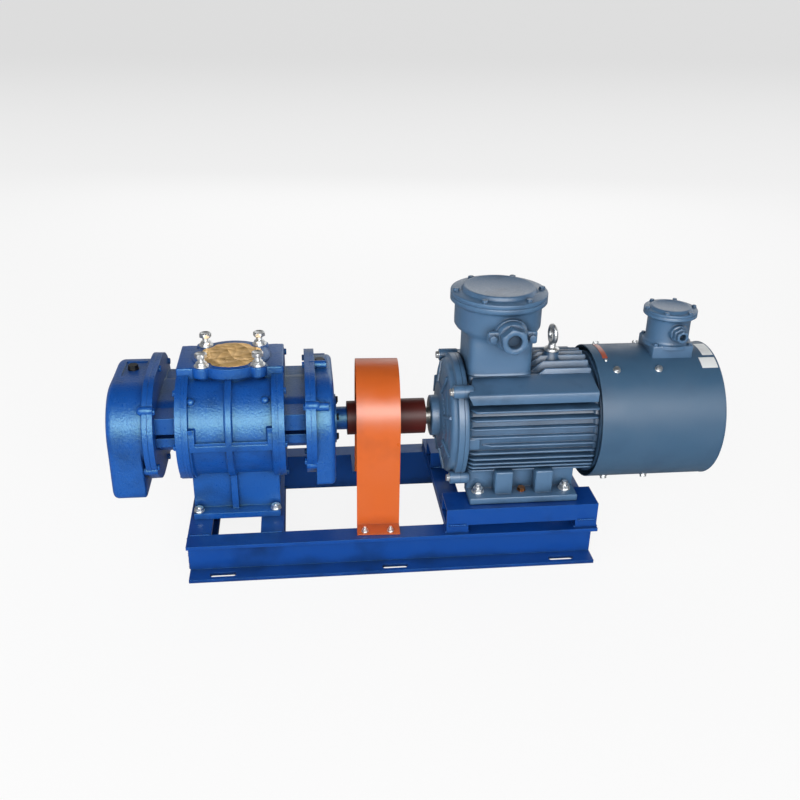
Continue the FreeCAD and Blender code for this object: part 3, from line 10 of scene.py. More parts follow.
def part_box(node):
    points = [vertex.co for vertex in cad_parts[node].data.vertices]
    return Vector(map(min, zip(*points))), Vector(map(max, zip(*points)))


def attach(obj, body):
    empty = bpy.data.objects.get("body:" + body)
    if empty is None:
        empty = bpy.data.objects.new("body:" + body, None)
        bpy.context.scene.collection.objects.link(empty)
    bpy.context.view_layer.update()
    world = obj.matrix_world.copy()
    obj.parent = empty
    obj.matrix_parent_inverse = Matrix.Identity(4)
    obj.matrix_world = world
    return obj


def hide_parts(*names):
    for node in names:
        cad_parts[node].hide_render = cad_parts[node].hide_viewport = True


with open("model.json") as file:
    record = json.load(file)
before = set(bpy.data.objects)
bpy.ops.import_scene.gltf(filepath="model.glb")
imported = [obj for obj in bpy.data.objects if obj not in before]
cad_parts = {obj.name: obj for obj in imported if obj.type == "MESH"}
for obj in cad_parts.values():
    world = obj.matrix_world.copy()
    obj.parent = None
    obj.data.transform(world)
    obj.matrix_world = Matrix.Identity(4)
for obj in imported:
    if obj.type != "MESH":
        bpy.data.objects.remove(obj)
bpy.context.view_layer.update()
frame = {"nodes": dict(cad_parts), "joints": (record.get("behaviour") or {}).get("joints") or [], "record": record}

nodes = frame["nodes"]
MM = 0.001

# of every enamel: patches of thinner paint, per metre, and how far the painted shade of a corner reaches, in
# metres
PATCH_SCALE = 9.0
PAINTED_SHADE_REACH = 0.03
# patches times the painted shade of corners: the dark tone up to the first value, the light one from the second
HOLLOW_SHADE = 0.1
OPEN_SHADE = 0.45

# camera: where it stands, in metres, and how it is turned, in radians
CAMERA_PLACE = Vector((-0.2057, -1.9932, 1.3015))
CAMERA_YAW = 0.1170
CAMERA_PITCH = 0.4443
CAMERA_ROLL = 0.0194
FOCAL_LENGTH = 41.0


def photo_camera():
    """The camera looks along yaw towards +X, pitched down, then rolled a little."""
    ahead = Vector((math.sin(CAMERA_YAW) * math.cos(CAMERA_PITCH),
                    math.cos(CAMERA_YAW) * math.cos(CAMERA_PITCH),
                    -math.sin(CAMERA_PITCH)))
    right = Vector((math.cos(CAMERA_YAW), -math.sin(CAMERA_YAW), 0.0))
    up = right.cross(ahead)
    level = math.cos(CAMERA_ROLL) * right + math.sin(CAMERA_ROLL) * up
    upright = -math.sin(CAMERA_ROLL) * right + math.cos(CAMERA_ROLL) * up
    data = bpy.data.cameras.new("photo_camera")
    data.lens = FOCAL_LENGTH
    data.sensor_width = 36.0
    data.clip_end = 60.0
    camera = bpy.data.objects.new("photo_camera", data)
    bpy.context.scene.collection.objects.link(camera)
    turn = Matrix((level, upright, -ahead)).transposed().to_4x4()
    camera.matrix_world = Matrix.Translation(CAMERA_PLACE) @ turn
    bpy.context.scene.camera = camera


photo_camera()


def srgb(text):
    """A colour written as six hex digits, as linear red, green, blue and alpha."""
    values = []
    for start in (0, 2, 4):
        part = int(text[start:start + 2], 16) / 255
        values.append(part / 12.92 if part <= 0.04045 else ((part + 0.055) / 1.055) ** 2.4)
    return (*values, 1.0)


def add(tree, kind, sockets=None, **settings):
    """One more node: settings by name, sockets by name or number, each set or linked."""
    node = tree.nodes.new(kind)
    for name, value in settings.items():
        setattr(node, name, value)
    for name, value in (sockets or {}).items():
        if isinstance(value, bpy.types.NodeSocket):
            tree.links.new(value, node.inputs[name])
        else:
            node.inputs[name].default_value = value
    return node


def fresh_material(name, **shader_values):
    """A new material with its shader; the keywords set the shader's own sockets."""
    material = bpy.data.materials.new(name)
    material.use_nodes = True
    tree = material.node_tree
    tree.nodes.clear()
    sockets = {key.replace("_", " ").title().replace("Ior", "IOR"): value
               for key, value in shader_values.items()}
    shader = add(tree, "ShaderNodeBsdfPrincipled", sockets)
    add(tree, "ShaderNodeOutputMaterial", {"Surface": shader.outputs[0]})
    return material, tree, shader


def enamel(name, light, dark, grain_mm, relief_mm, peel_mm, roughness, edge_mm, coat=0.3, coat_roughness=0.1,
           **shader_values):
    """Brushed or sprayed enamel. grain_mm and relief_mm are the lumps of the casting
    under it, peel_mm the fine orange peel of the paint itself, edge_mm the rounding
    that the paint gives to an edge. Hollows have a painted shade in the base colour, where less light comes."""
    material, tree, shader = fresh_material(name, coat_weight=coat, coat_roughness=coat_roughness,
                                            **shader_values)
    place = add(tree, "ShaderNodeTexCoord").outputs["Object"]
    shade = add(tree, "ShaderNodeTexNoise", {"Vector": place, "Scale": PATCH_SCALE, "Detail": 3.0})
    # painted shade: ambient occlusion darkens the base colour in corners and hollows, mixed with random paint
    # patches
    corner = add(tree, "ShaderNodeAmbientOcclusion", {"Distance": PAINTED_SHADE_REACH}, samples=4)
    depth = add(tree, "ShaderNodeMath", {0: shade.outputs[0], 1: corner.outputs["AO"]}, operation="MULTIPLY")
    patch_and_painted_shade = add(tree, "ShaderNodeMapRange", {0: depth.outputs[0], 1: HOLLOW_SHADE, 2: OPEN_SHADE})
    tint = add(tree, "ShaderNodeMix", {0: patch_and_painted_shade.outputs[0], 6: srgb(dark), 7: srgb(light)}, data_type="RGBA")
    tree.links.new(tint.outputs[2], shader.inputs["Base Color"])
    lumps = add(tree, "ShaderNodeTexNoise",
                {"Vector": place, "Scale": 1000 / grain_mm, "Detail": 3.0, "Roughness": 0.55})
    peel = add(tree, "ShaderNodeTexNoise", {"Vector": place, "Scale": 1000 / peel_mm, "Detail": 1.0})
    rough = add(tree, "ShaderNodeMapRange",
                {0: lumps.outputs[0], 1: 0.3, 2: 0.7, 3: roughness * 0.8, 4: roughness * 1.25})
    tree.links.new(rough.outputs[0], shader.inputs["Roughness"])
    edge = add(tree, "ShaderNodeBevel", {"Radius": edge_mm * MM}, samples=6)
    cast = add(tree, "ShaderNodeBump",
               {"Height": lumps.outputs[0], "Distance": relief_mm * MM, "Strength": 1.0,
                "Normal": edge.outputs[0]})
    skin = add(tree, "ShaderNodeBump",
               {"Height": peel.outputs[0], "Distance": relief_mm * 0.25 * MM, "Strength": 1.0,
                "Normal": cast.outputs[0]})
    tree.links.new(skin.outputs[0], shader.inputs["Normal"])
    return material


def metal(name, colour, roughness, grain_mm=3.0, relief_mm=0.05, edge_mm=0.6, metallic=1.0, dulling=0.6):
    """Bare or plated metal with a faint turned or forged grain."""
    material, tree, shader = fresh_material(name, metallic=metallic)
    place = add(tree, "ShaderNodeTexCoord").outputs["Object"]
    grain = add(tree, "ShaderNodeTexNoise", {"Vector": place, "Scale": 1000 / grain_mm, "Detail": 4.0})
    tone = srgb(colour)
    dull = tuple(dulling * value for value in tone[:3]) + (1.0,)
    tint = add(tree, "ShaderNodeMix", {0: grain.outputs[0], 6: dull, 7: tone}, data_type="RGBA")
    tree.links.new(tint.outputs[2], shader.inputs["Base Color"])
    rough = add(tree, "ShaderNodeMapRange",
                {0: grain.outputs[0], 1: 0.3, 2: 0.7, 3: roughness * 0.7, 4: roughness * 1.4})
    tree.links.new(rough.outputs[0], shader.inputs["Roughness"])
    edge = add(tree, "ShaderNodeBevel", {"Radius": edge_mm * MM}, samples=6)
    bump = add(tree, "ShaderNodeBump",
               {"Height": grain.outputs[0], "Distance": relief_mm * MM, "Normal": edge.outputs[0]})
    tree.links.new(bump.outputs[0], shader.inputs["Normal"])
    return material


# enamel brushed on rough iron castings: wet gloss, lumps of 5 mm, pale broken highlights
BLOWER_ENAMEL = enamel("glossy_enamel_on_rough_iron", "0d4ba0", "04184c", 5.0, 1.1, 1.6, 0.33, 2.2, 0.08, 0.2,
                       specular_ior_level=0.9, specular_tint=srgb("b8fffb"))
# enamel sprayed on rolled channel: smooth, deep blue, slight waviness of the sheet
BASE_ENAMEL = enamel("gloss_enamel_on_rolled_steel", "0c4092", "04194b", 14.0, 0.25, 2.0, 0.36, 1.2, 0.1,
                     0.12,
                     specular_tint=srgb("a8f4ff"))
# semi-gloss enamel on fine castings of the motor
MOTOR_ENAMEL = enamel("semi_gloss_enamel_on_fine_iron", "496c8e", "172e44", 3.0, 0.22, 1.2, 0.40, 1.6, 0.2,
                      0.16)
# the same enamel on rolled sheet: flat and smooth
SHEET_ENAMEL = enamel("semi_gloss_enamel_on_sheet", "3a5b78", "32506d", 60.0, 0.3, 1.4, 0.45, 0.8, 0.06, 0.2,
                       specular_ior_level=0.4)
# gloss orange enamel on a bent strip
GUARD_ENAMEL = enamel("gloss_enamel_on_bent_strip", "cd5f20", "a24813", 60.0, 0.3, 1.8, 0.34, 0.8, 0.12, 0.12)
# red-brown primer, thin and even
PRIMER = enamel("oxide_primer_on_turned_steel", "4a130d", "240907", 2.0, 0.08, 1.0, 0.42, 0.8, coat=0.0,
                specular_ior_level=0.3)
# zinc plate: bright, slightly milky
ZINC = metal("bright_zinc_plate", "eef0f0", 0.36, relief_mm=0.03, dulling=0.8)
# ground or turned steel without plating
STEEL = metal("turned_steel", "a9a8a4", 0.3, 1.2, 0.03)
# grey iron with its machined skin
IRON = metal("machined_grey_iron", "6d6d70", 0.45, 2.0, 0.08)
# black oxide on bolts
BLACK_STEEL = metal("black_oxide_steel", "17181a", 0.35, 2.0, 0.05, 0.4, 0.6)
# copper-brown studs and windings
COPPER = metal("brown_copper", "9a6842", 0.35)
# black moulded caps
BLACK_PLASTIC = enamel("satin_black_plastic", "141416", "060607", 3.0, 0.05, 1.0, 0.4, 0.6, coat=0.0)
# black rubber of the seal and the coupling bushes
RUBBER = enamel("black_rubber", "1a1a1a", "0a0a0a", 2.0, 0.08, 0.8, 0.7, 0.6, coat=0.0)
# thin golden foil, pressed on by hand
FOIL = metal("golden_foil", "ffd28a", 0.38, 40.0, 0.05, 0.3, metallic=0.92, dulling=1.0)
# white paper of the blank labels
PAPER = enamel("coated_white_paper", "f1f3f3", "dfe3e4", 30.0, 0.05, 2.0, 0.4, 0.2, 0.3)
# rust-brown lacquer on the thin rotation plate
PLATE = enamel("brown_lacquered_plate", "b1553a", "8a3c28", 20.0, 0.05, 2.0, 0.35, 0.2, 0.3)

FINISHES = {
    "base_paint": BASE_ENAMEL, "blower_paint": BLOWER_ENAMEL, "motor_paint": MOTOR_ENAMEL,
    "guard_paint": GUARD_ENAMEL, "primer": PRIMER, "zinc_steel": ZINC, "machined_steel": STEEL,
    "cast_iron": IRON, "black_plastic": BLACK_PLASTIC, "black_steel": BLACK_STEEL, "gold_foil": FOIL,
    "rubber": RUBBER, "sight_glass": STEEL, "copper": COPPER, "fan_plastic": BLACK_PLASTIC,
    "lamination": IRON,
}
for entry in frame["record"]["subparts"]:
    data = nodes[entry["node"]].data
    data.materials.clear()
    data.materials.append(FINISHES[entry["material_slot"]])
nodes["fan_cowl"].data.materials[0] = SHEET_ENAMEL


def quads(rows, columns, first, wrap_rows, wrap_columns):
    """Corner numbers of a grid's quads, its points numbered row by row from first."""
    row = np.arange(rows if wrap_rows else rows - 1)
    column = np.arange(columns if wrap_columns else columns - 1)
    row, column = np.meshgrid(row, column, indexing="ij")
    below = (row + 1) % rows
    beside = (column + 1) % columns
    corners = (row * columns + column, below * columns + column,
               below * columns + beside, row * columns + beside)
    return first + np.stack(corners, -1).reshape(-1, 4)


def capped(rows):
    """A grid whose first and last rows are each closed at their middle."""
    rows = np.asarray(rows, float)
    first = np.broadcast_to(rows[:1].mean(1, keepdims=True), rows[:1].shape)
    last = np.broadcast_to(rows[-1:].mean(1, keepdims=True), rows[-1:].shape)
    return np.concatenate((first, rows, last))


def piece(name, grids, finish, body="housing", replaces=(), sharp=35):
    """One object from grids of points in millimetres. Points that meet are merged, so
    poles and seams close, and the faces are turned outwards."""
    points = []
    faces = []
    first = 0
    for grid, wrap_rows, wrap_columns in grids:
        rows, columns = grid.shape[:2]
        points.append(grid.reshape(-1, 3) * MM)
        faces.append(quads(rows, columns, first, wrap_rows, wrap_columns))
        first += rows * columns
    mesh = bpy.data.meshes.new(name)
    mesh.from_pydata(np.concatenate(points), [], np.concatenate(faces).tolist())
    work = bmesh.new()
    work.from_mesh(mesh)
    bmesh.ops.remove_doubles(work, verts=work.verts, dist=0.01 * MM)
    bmesh.ops.dissolve_degenerate(work, edges=work.edges, dist=0.001 * MM)
    bmesh.ops.recalc_face_normals(work, faces=work.faces)
    work.to_mesh(mesh)
    work.free()
    mesh.shade_smooth()
    mesh.set_sharp_from_angle(angle=math.radians(sharp))
    mesh.materials.append(finish)
    thing = bpy.data.objects.new(name, mesh)
    bpy.context.scene.collection.objects.link(thing)
    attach(thing, body)
    if replaces:
        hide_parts(*replaces)
    return thing


def basis(axis):
    """Three unit directions: the axis and two across it."""
    along = np.asarray(axis, float) / np.linalg.norm(axis)
    helper = np.array((0.0, 0.0, 1.0)) if abs(along[2]) < 0.9 else np.array((1.0, 0.0, 0.0))
    across = np.cross(helper, along)
    across /= np.linalg.norm(across)
    return along, across, np.cross(along, across)


def turned(profile, place, axis, count=48, phase=0.0):
    """A turned shape: each row of the profile is (height, radius) or (height, radius,
    half the width over flats), and becomes a ring about the axis. Where flats are
    given, the ring's radius is the smaller of the circle's and the hexagon's, which
    is flat / cos(turn from the middle of its side)."""
    along, across, beyond = basis(axis)
    turn = np.linspace(0, 2 * np.pi, count, endpoint=False)[None, :]
    height = np.array([row[0] for row in profile], float)[:, None]
    radius = np.array([row[1] for row in profile], float)[:, None]
    flat = np.array([row[2] if len(row) > 2 else 1e6 for row in profile], float)[:, None]
    side = (turn + np.pi / 6) % (np.pi / 3) - np.pi / 6
    reach = np.minimum(radius, flat / np.cos(side))
    turn = turn + phase
    points = (np.asarray(place, float) + height[..., None] * along
              + (reach * np.cos(turn))[..., None] * across + (reach * np.sin(turn))[..., None] * beyond)
    return points, False, True


def block(low, high, rounding=2.0, steps=3):
    """A block with rounded edges: the eighths of a sphere moved apart to its corners,
    place = sign * (half size - rounding) + rounding * direction."""
    low = np.asarray(low, float)
    high = np.asarray(high, float)
    half = (high - low) / 2
    rounding = min(rounding, half.min() * 0.98)
    quarter = np.linspace(0, np.pi / 2, steps + 1)
    across = np.concatenate([quarter + k * np.pi / 2 for k in range(4)])
    sign_x = np.repeat([1, -1, -1, 1], steps + 1)
    sign_y = np.repeat([1, 1, -1, -1], steps + 1)
    rise = np.concatenate([quarter - np.pi / 2, quarter])
    sign_z = np.repeat([-1, 1], steps + 1)
    rise, across = np.meshgrid(rise, across, indexing="ij")
    way = np.stack((np.cos(rise) * np.cos(across), np.cos(rise) * np.sin(across), np.sin(rise)), -1)
    sign = np.stack((np.broadcast_to(sign_x, rise.shape), np.broadcast_to(sign_y, rise.shape),
                     np.broadcast_to(sign_z[:, None], rise.shape)), -1)
    points = (low + high) / 2 + sign * (half - rounding) + rounding * way
    centre = (low + high) / 2
    foot = np.broadcast_to(centre * (1, 1, 0) + (0, 0, low[2]), (1, points.shape[1], 3))
    crown = np.broadcast_to(centre * (1, 1, 0) + (0, 0, high[2]), (1, points.shape[1], 3))
    return np.concatenate((foot, points, crown)), False, True


def swept(path, section, up=(0, 0, 1), closed=False, scale=None):
    """A section carried along a path: at each station it lies across the path, its
    second direction as near to up as can be. The ends are closed at their middles."""
    path = np.asarray(path, float)
    ahead = np.roll(path, -1, 0) - np.roll(path, 1, 0)
    if not closed:
        ahead[0] = path[1] - path[0]
        ahead[-1] = path[-1] - path[-2]
    ahead /= np.linalg.norm(ahead, axis=1, keepdims=True)
    side = np.cross(ahead, up)
    side /= np.linalg.norm(side, axis=1, keepdims=True)
    top = np.cross(side, ahead)
    section = np.asarray(section, float)
    size = np.ones(len(path)) if scale is None else np.asarray(scale, float)
    points = (path[:, None] + section[None, :, :1] * side[:, None] * size[:, None, None]
              + section[None, :, 1:] * top[:, None] * size[:, None, None])
    return points if closed else capped(points), closed, True


def circle(radius, count=12, stretch=1.0):
    """A round or oval section."""
    turn = np.linspace(0, 2 * np.pi, count, endpoint=False)
    return np.stack((radius * np.cos(turn), radius * stretch * np.sin(turn)), -1)


def step_up(value, edge, width=3.0):
    """From 0 to 1 across an edge, with a rounded foot and a rounded top."""
    part = np.clip((value - edge) / width + 0.5, 0, 1)
    return part * part * (3 - 2 * part)


def ridge(value, low, high, width=3.0):
    """1 between two edges and 0 outside them."""
    return step_up(value, low, width) * (1 - step_up(value, high, width))


def blend_max(first, second, soft=4.0):
    """The greater of two reaches, with a fillet of about soft where they meet."""
    top = np.maximum(first, second)
    gap = np.abs(first - second)
    return top + soft * np.log1p(np.exp(-gap / soft))


def disc_reach(turn, far, away, radius):
    """Reach of a disc whose middle lies far out at the turn away, or 0 beside it."""
    beside = far * np.sin(turn - away)
    inside = np.clip(radius ** 2 - beside ** 2, 0, None)
    reach = far * np.cos(turn - away) + np.sqrt(inside)
    return np.where((np.abs(beside) < radius) & (np.cos(turn - away) > 0), reach, 0.0)


def block_reach(turn, half_across, half_up):
    """Reach of a centred rectangle."""
    return np.minimum(half_across / np.maximum(np.abs(np.cos(turn)), 1e-6),
                      half_up / np.maximum(np.abs(np.sin(turn)), 1e-6))


def oval_reach(turn, half_gap, radius):
    """Reach of an oval: two discs half_gap either side and the slab between them."""
    across = np.abs(np.cos(turn))
    up = np.maximum(np.abs(np.sin(turn)), 1e-6)
    slab = radius / up
    disc = half_gap * across + np.sqrt(np.maximum(radius ** 2 - (half_gap * up) ** 2, 0))
    return np.where(slab * across < half_gap, slab, disc)


def rings(place, axis, heights, radii):
    """Rings about an axis: each row of radii is one outline, by turn, at its height."""
    along, across, beyond = basis(axis)
    turn = np.linspace(0, 2 * np.pi, radii.shape[1], endpoint=False)
    points = (np.asarray(place, float) + np.asarray(heights, float)[:, None, None] * along
              + (radii * np.cos(turn))[..., None] * across + (radii * np.sin(turn))[..., None] * beyond)
    return points, False, True


def solids(node):
    """Lowest and highest corner, in millimetres, of each separate solid of a CAD node."""
    mesh = nodes[node].data
    points = np.zeros(len(mesh.vertices) * 3)
    mesh.vertices.foreach_get("co", points)
    places, same = np.unique(np.round(points.reshape(-1, 3) / MM, 2), axis=0, return_inverse=True)
    corners = np.zeros(len(mesh.loops), int)
    mesh.loops.foreach_get("vertex_index", corners)
    corners = same.ravel()[corners].reshape(-1, 3)
    label = np.arange(len(places))
    settled = False
    while not settled:
        lowest = label[corners].min(1)
        joined = label.copy()
        np.minimum.at(joined, corners.ravel(), np.repeat(lowest, 3))
        joined = joined[joined]
        settled = bool((joined == label).all())
        label = joined
    found = [places[label == number] for number in np.unique(label)]
    return [(part.min(0), part.max(0)) for part in found]


def node_box(node):
    """Lowest and highest corner of a CAD node in millimetres."""
    low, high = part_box(node)
    return np.array(low) / MM, np.array(high) / MM


# the shaft lines and the middle of the blower, read from the frame
anchors = {joint["name"]: np.array(joint["pos_m"]) / MM for joint in frame["joints"]}
DRIVE_Y = anchors["drive_rotor_spin"][1]
DRIVEN_Y = anchors["driven_rotor_spin"][1]
AXIS_Z = anchors["drive_rotor_spin"][2]
MID_Y = (DRIVE_Y + DRIVEN_Y) / 2
HALF_GAP = (DRIVEN_Y - DRIVE_Y) / 2
casing_low, casing_high = node_box("blower_casing")
BLOWER_X = (casing_low[0] + casing_high[0]) / 2
CASING_HALF = (casing_high[0] - casing_low[0]) / 2
PORT_TOP = casing_high[2]

# the motor, read from its terminal box: 157 from the shaft shoulder to the box
BOX_FROM_SHOULDER = 157
EYE_FROM_SHOULDER = 293
FIRST_FOOT_HOLE = 108
EAR_CIRCLE = 157
box_low, box_high = node_box("terminal_box_lid")
BOX_X = (box_low[0] + box_high[0]) / 2
BOX_ENTRY = np.array((BOX_X + 9.5, DRIVE_Y - 110, AXIS_Z + 243))
SHOULDER_X = BOX_X - BOX_FROM_SHOULDER
EYE_X = SHOULDER_X + EYE_FROM_SHOULDER
FOOT_X = SHOULDER_X + FIRST_FOOT_HOLE
PAD_TOP = node_box("motor_pad_front")[1][2]
COWL_RADIUS = 162.0


def chamfered_bolt(place, axis, thread, washer=True, tail=0.0):
    """A hexagon head with a turned chamfer, its washer and, through a nut, the end of
    a stud. Place is on the seat and the axis points out of the metal."""
    flat = 0.8 * thread
    corner = flat / math.cos(math.pi / 6)
    seat = 0.17 * thread if washer else 0.0
    top = seat + 0.66 * thread
    rows = [(-0.3, 0.0)]
    if washer:
        rows += [(-0.3, 1.05 * thread), (seat - 0.3, 1.05 * thread), (seat, 1.02 * thread), (seat, corner)]
    rows += [(max(seat, -0.3), corner, flat), (top - 0.14 * thread, corner, flat),
             (top - 0.05 * thread, 1.05 * flat, flat), (top, 0.92 * flat, flat)]
    if tail:
        rows += [(top, 0.48 * thread), (top + tail - 1.0, 0.48 * thread), (top + tail, 0.4 * thread)]
    rows.append((rows[-1][0], 0.0))
    return turned(rows, place, axis, 36)


def bolts_of(node, axis, thread, washer=True, tail=0.0, side=None):
    """One chamfered bolt for each solid of a CAD node, its head at the same end."""
    way = np.asarray(axis, float)
    grids = []
    for low, high in solids(node):
        middle = (low + high) / 2
        if side is not None and not side(middle):
            continue
        seat = 0.17 * thread if washer else 0.0
        far = np.where(way > 0, high, np.where(way < 0, low, middle))
        grids.append(chamfered_bolt(far - way * (0.66 * thread + seat), axis, thread, washer, tail))
    return grids


def on_gear_side(middle):
    """Whether a place lies on the gear side of the blower."""
    return middle[0] < BLOWER_X


def on_drive_side(middle):
    """Whether a place lies on the drive side of the blower."""
    return middle[0] >= BLOWER_X


def all_fasteners():
    """A chamfered head for every plain bolt of the solids. Bolts that were painted with
    the castings have the castings' enamel, the others are zinc plated or black."""
    outer_gear = bolts_of("side_plate_bolts", (-1, 0, 0), 9, False, side=on_gear_side)
    outer_drive = bolts_of("side_plate_bolts", (1, 0, 0), 9, False, side=on_drive_side)
    piece("side_plate_bolt_heads", outer_gear + outer_drive, BLOWER_ENAMEL,
          replaces=("side_plate_bolts",))
    inner_gear = bolts_of("cover_bolts", (1, 0, 0), 9, False, side=on_gear_side)
    inner_drive = bolts_of("cover_bolts", (-1, 0, 0), 9, False, side=on_drive_side)
    piece("cover_bolt_heads", inner_gear + inner_drive, BLOWER_ENAMEL,
          replaces=("cover_bolts",))
    piece("seal_carrier_bolt_heads", bolts_of("seal_carrier_bolts", (1, 0, 0), 9, False), BLACK_STEEL,
          replaces=("seal_carrier_bolts",))
    piece("blower_foot_bolt_heads", bolts_of("blower_foot_bolts", (0, 0, 1), 12, tail=3.0), ZINC,
          replaces=("blower_foot_bolts",))
    piece("guard_bolt_heads", bolts_of("guard_bolts", (0, 0, 1), 8, tail=6.0), ZINC,
          replaces=("guard_bolts",))
    piece("motor_foot_bolt_heads", bolts_of("motor_foot_bolts", (0, 0, 1), 14, tail=9.0), ZINC,
          replaces=("motor_foot_bolts",))
    piece("shield_bolt_heads", bolts_of("shield_bolts", (-1, 0, 0), 10), ZINC,
          replaces=("shield_bolts",))
    lid_bolts = []
    for low, high in solids("box_bolts"):
        middle = (low + high) / 2
        thread = (high[0] - low[0]) / 2.1
        seat = (middle[0], middle[1], high[2] - 0.83 * thread)
        lid_bolts.append(chamfered_bolt(seat, (0, 0, 1), thread))
    piece("box_bolt_heads", lid_bolts, MOTOR_ENAMEL, replaces=("box_bolts",))


def inlet_bolts():
    """Stored flange bolts: washer, nut, a threaded neck and the head high above it."""
    grids = []
    for low, high in solids("inlet_bolts"):
        middle = (low + high) / 2
        pitch = np.arange(10.5, 21.5, 1.0)
        thread = [(height, 8.0 if number % 2 else 7.1) for number, height in enumerate(pitch)]
        rows = [(-0.3, 0), (-0.3, 17), (2.4, 17), (2.8, 16.6), (2.8, 14), (4.8, 14), (5.0, 13.8),
                (5.0, 13.0, 11.6), (9.2, 13.0, 11.6), (10.0, 11.4, 11.6), *thread,
                (21.5, 8.0), (22.0, 12.0), (22.0, 14.4, 12.8), (30.0, 14.4, 12.8), (31.2, 13.2, 12.8),
                (32.0, 11.6), (32.0, 10.0), (31.4, 9.0), (31.4, 0)]
        grids.append(turned(rows, (middle[0], middle[1], PORT_TOP), (0, 0, 1), 48, phase=0.3 * len(grids)))
    piece("inlet_bolt_set", grids, ZINC, replaces=("inlet_bolts",), sharp=50)


def inlet_foil():
    """Golden foil pressed over the inlet: height = the sum of a few folded waves, each the
    absolute value of a sine across its own direction, and a rim that is bitten in at
    the four bolts and drawn down."""
    turn = np.linspace(0, 2 * np.pi, 192, endpoint=False)[None, :]
    part = np.linspace(0, 1, 48)[:, None]
    bolt = np.pi / 4 + np.round((turn - np.pi / 4) / (np.pi / 2)) * np.pi / 2
    bite = 6.5 * np.exp(-((turn - bolt) / 0.16) ** 2)
    rim = 73.5 - bite + 0.9 * np.sin(17 * turn) * np.sin(5 * turn + 1)
    reach = part * rim
    x = reach * np.cos(turn)
    y = reach * np.sin(turn)
    height = np.zeros_like(x)
    for angle, length, lift, start in ((0.5, 46, 1.3, 0.2), (1.9, 37, 1.1, 1.0), (2.7, 58, 1.4, 2.1),
                                       (1.2, 23, 0.5, 0.4), (0.1, 19, 0.35, 1.7), (2.3, 13, 0.2, 0.9)):
        across = x * np.cos(angle) + y * np.sin(angle) + 4 * np.sin((x - 2 * y) / 31)
        height += lift * (1 - np.abs(np.sin(np.pi * across / length + start)) ** 0.7)
    top = 0.6 + height * np.clip(1.15 - part ** 6, 0, 1)
    grid = np.stack((BLOWER_X + x, MID_Y + y, PORT_TOP + top), -1)
    skirt = np.stack((BLOWER_X + x[-1:], MID_Y + y[-1:], np.full_like(x[-1:], PORT_TOP + 0.05)), -1)
    floor = np.broadcast_to(np.array((BLOWER_X, MID_Y, PORT_TOP + 0.05)), skirt.shape)
    piece("crinkled_inlet_foil", [(np.concatenate((grid, skirt, floor)), False, True)], FOIL,
          replaces=("inlet_foil",), sharp=60)


def port_flange():
    """The inlet flange: a disc with four round lobes, blended into each other, over a
    neck that flares out under it."""
    turn = np.linspace(0, 2 * np.pi, 288, endpoint=False)
    lobed = np.full_like(turn, 89.0)
    for quarter in range(4):
        lobed = blend_max(lobed, disc_reach(turn, 90, np.pi / 4 + quarter * np.pi / 2, 21.4), 2.5)
    neck = np.full_like(turn, 84.0)
    for quarter in range(4):
        neck = blend_max(neck, disc_reach(turn, 84, np.pi / 4 + quarter * np.pi / 2, 17), 4)
    heights = [-62, -46, -36, -29, -25.5, -23.6, -22.6, -2.6, -0.8, 0.25, 0.25]
    shares = [0, 0, 0.06, 0.25, 0.6, 0.88, 1.0, 1.0, 1.0, 1.0, None]
    insets = [0, 0, 0, 0, 0, 0, 0, 0, 0.5, 2.2, 0]
    rows = []
    for share, inset in zip(shares, insets):
        if share is None:
            rows.append(np.zeros_like(turn))
        else:
            rows.append(neck + share * (lobed - neck) - inset)
    grid = rings((BLOWER_X, MID_Y, PORT_TOP), (0, 0, 1), heights, np.array(rows))
    foot = np.broadcast_to(grid[0][:1].mean(1, keepdims=True), grid[0][:1].shape)
    tables = []
    for side in (-1, 1):
        near, far = sorted((side * 74, side * (CASING_HALF + 14.3)))
        tables.append(block((BLOWER_X + near, MID_Y - 70.6, AXIS_Z + 108),
                            (BLOWER_X + far, MID_Y + 70.6, AXIS_Z + 145.5), 3.5, 4))
    piece("port_flange_casting", [(np.concatenate((foot, grid[0])), False, True), *tables], BLOWER_ENAMEL)


RELIEF = 7.5


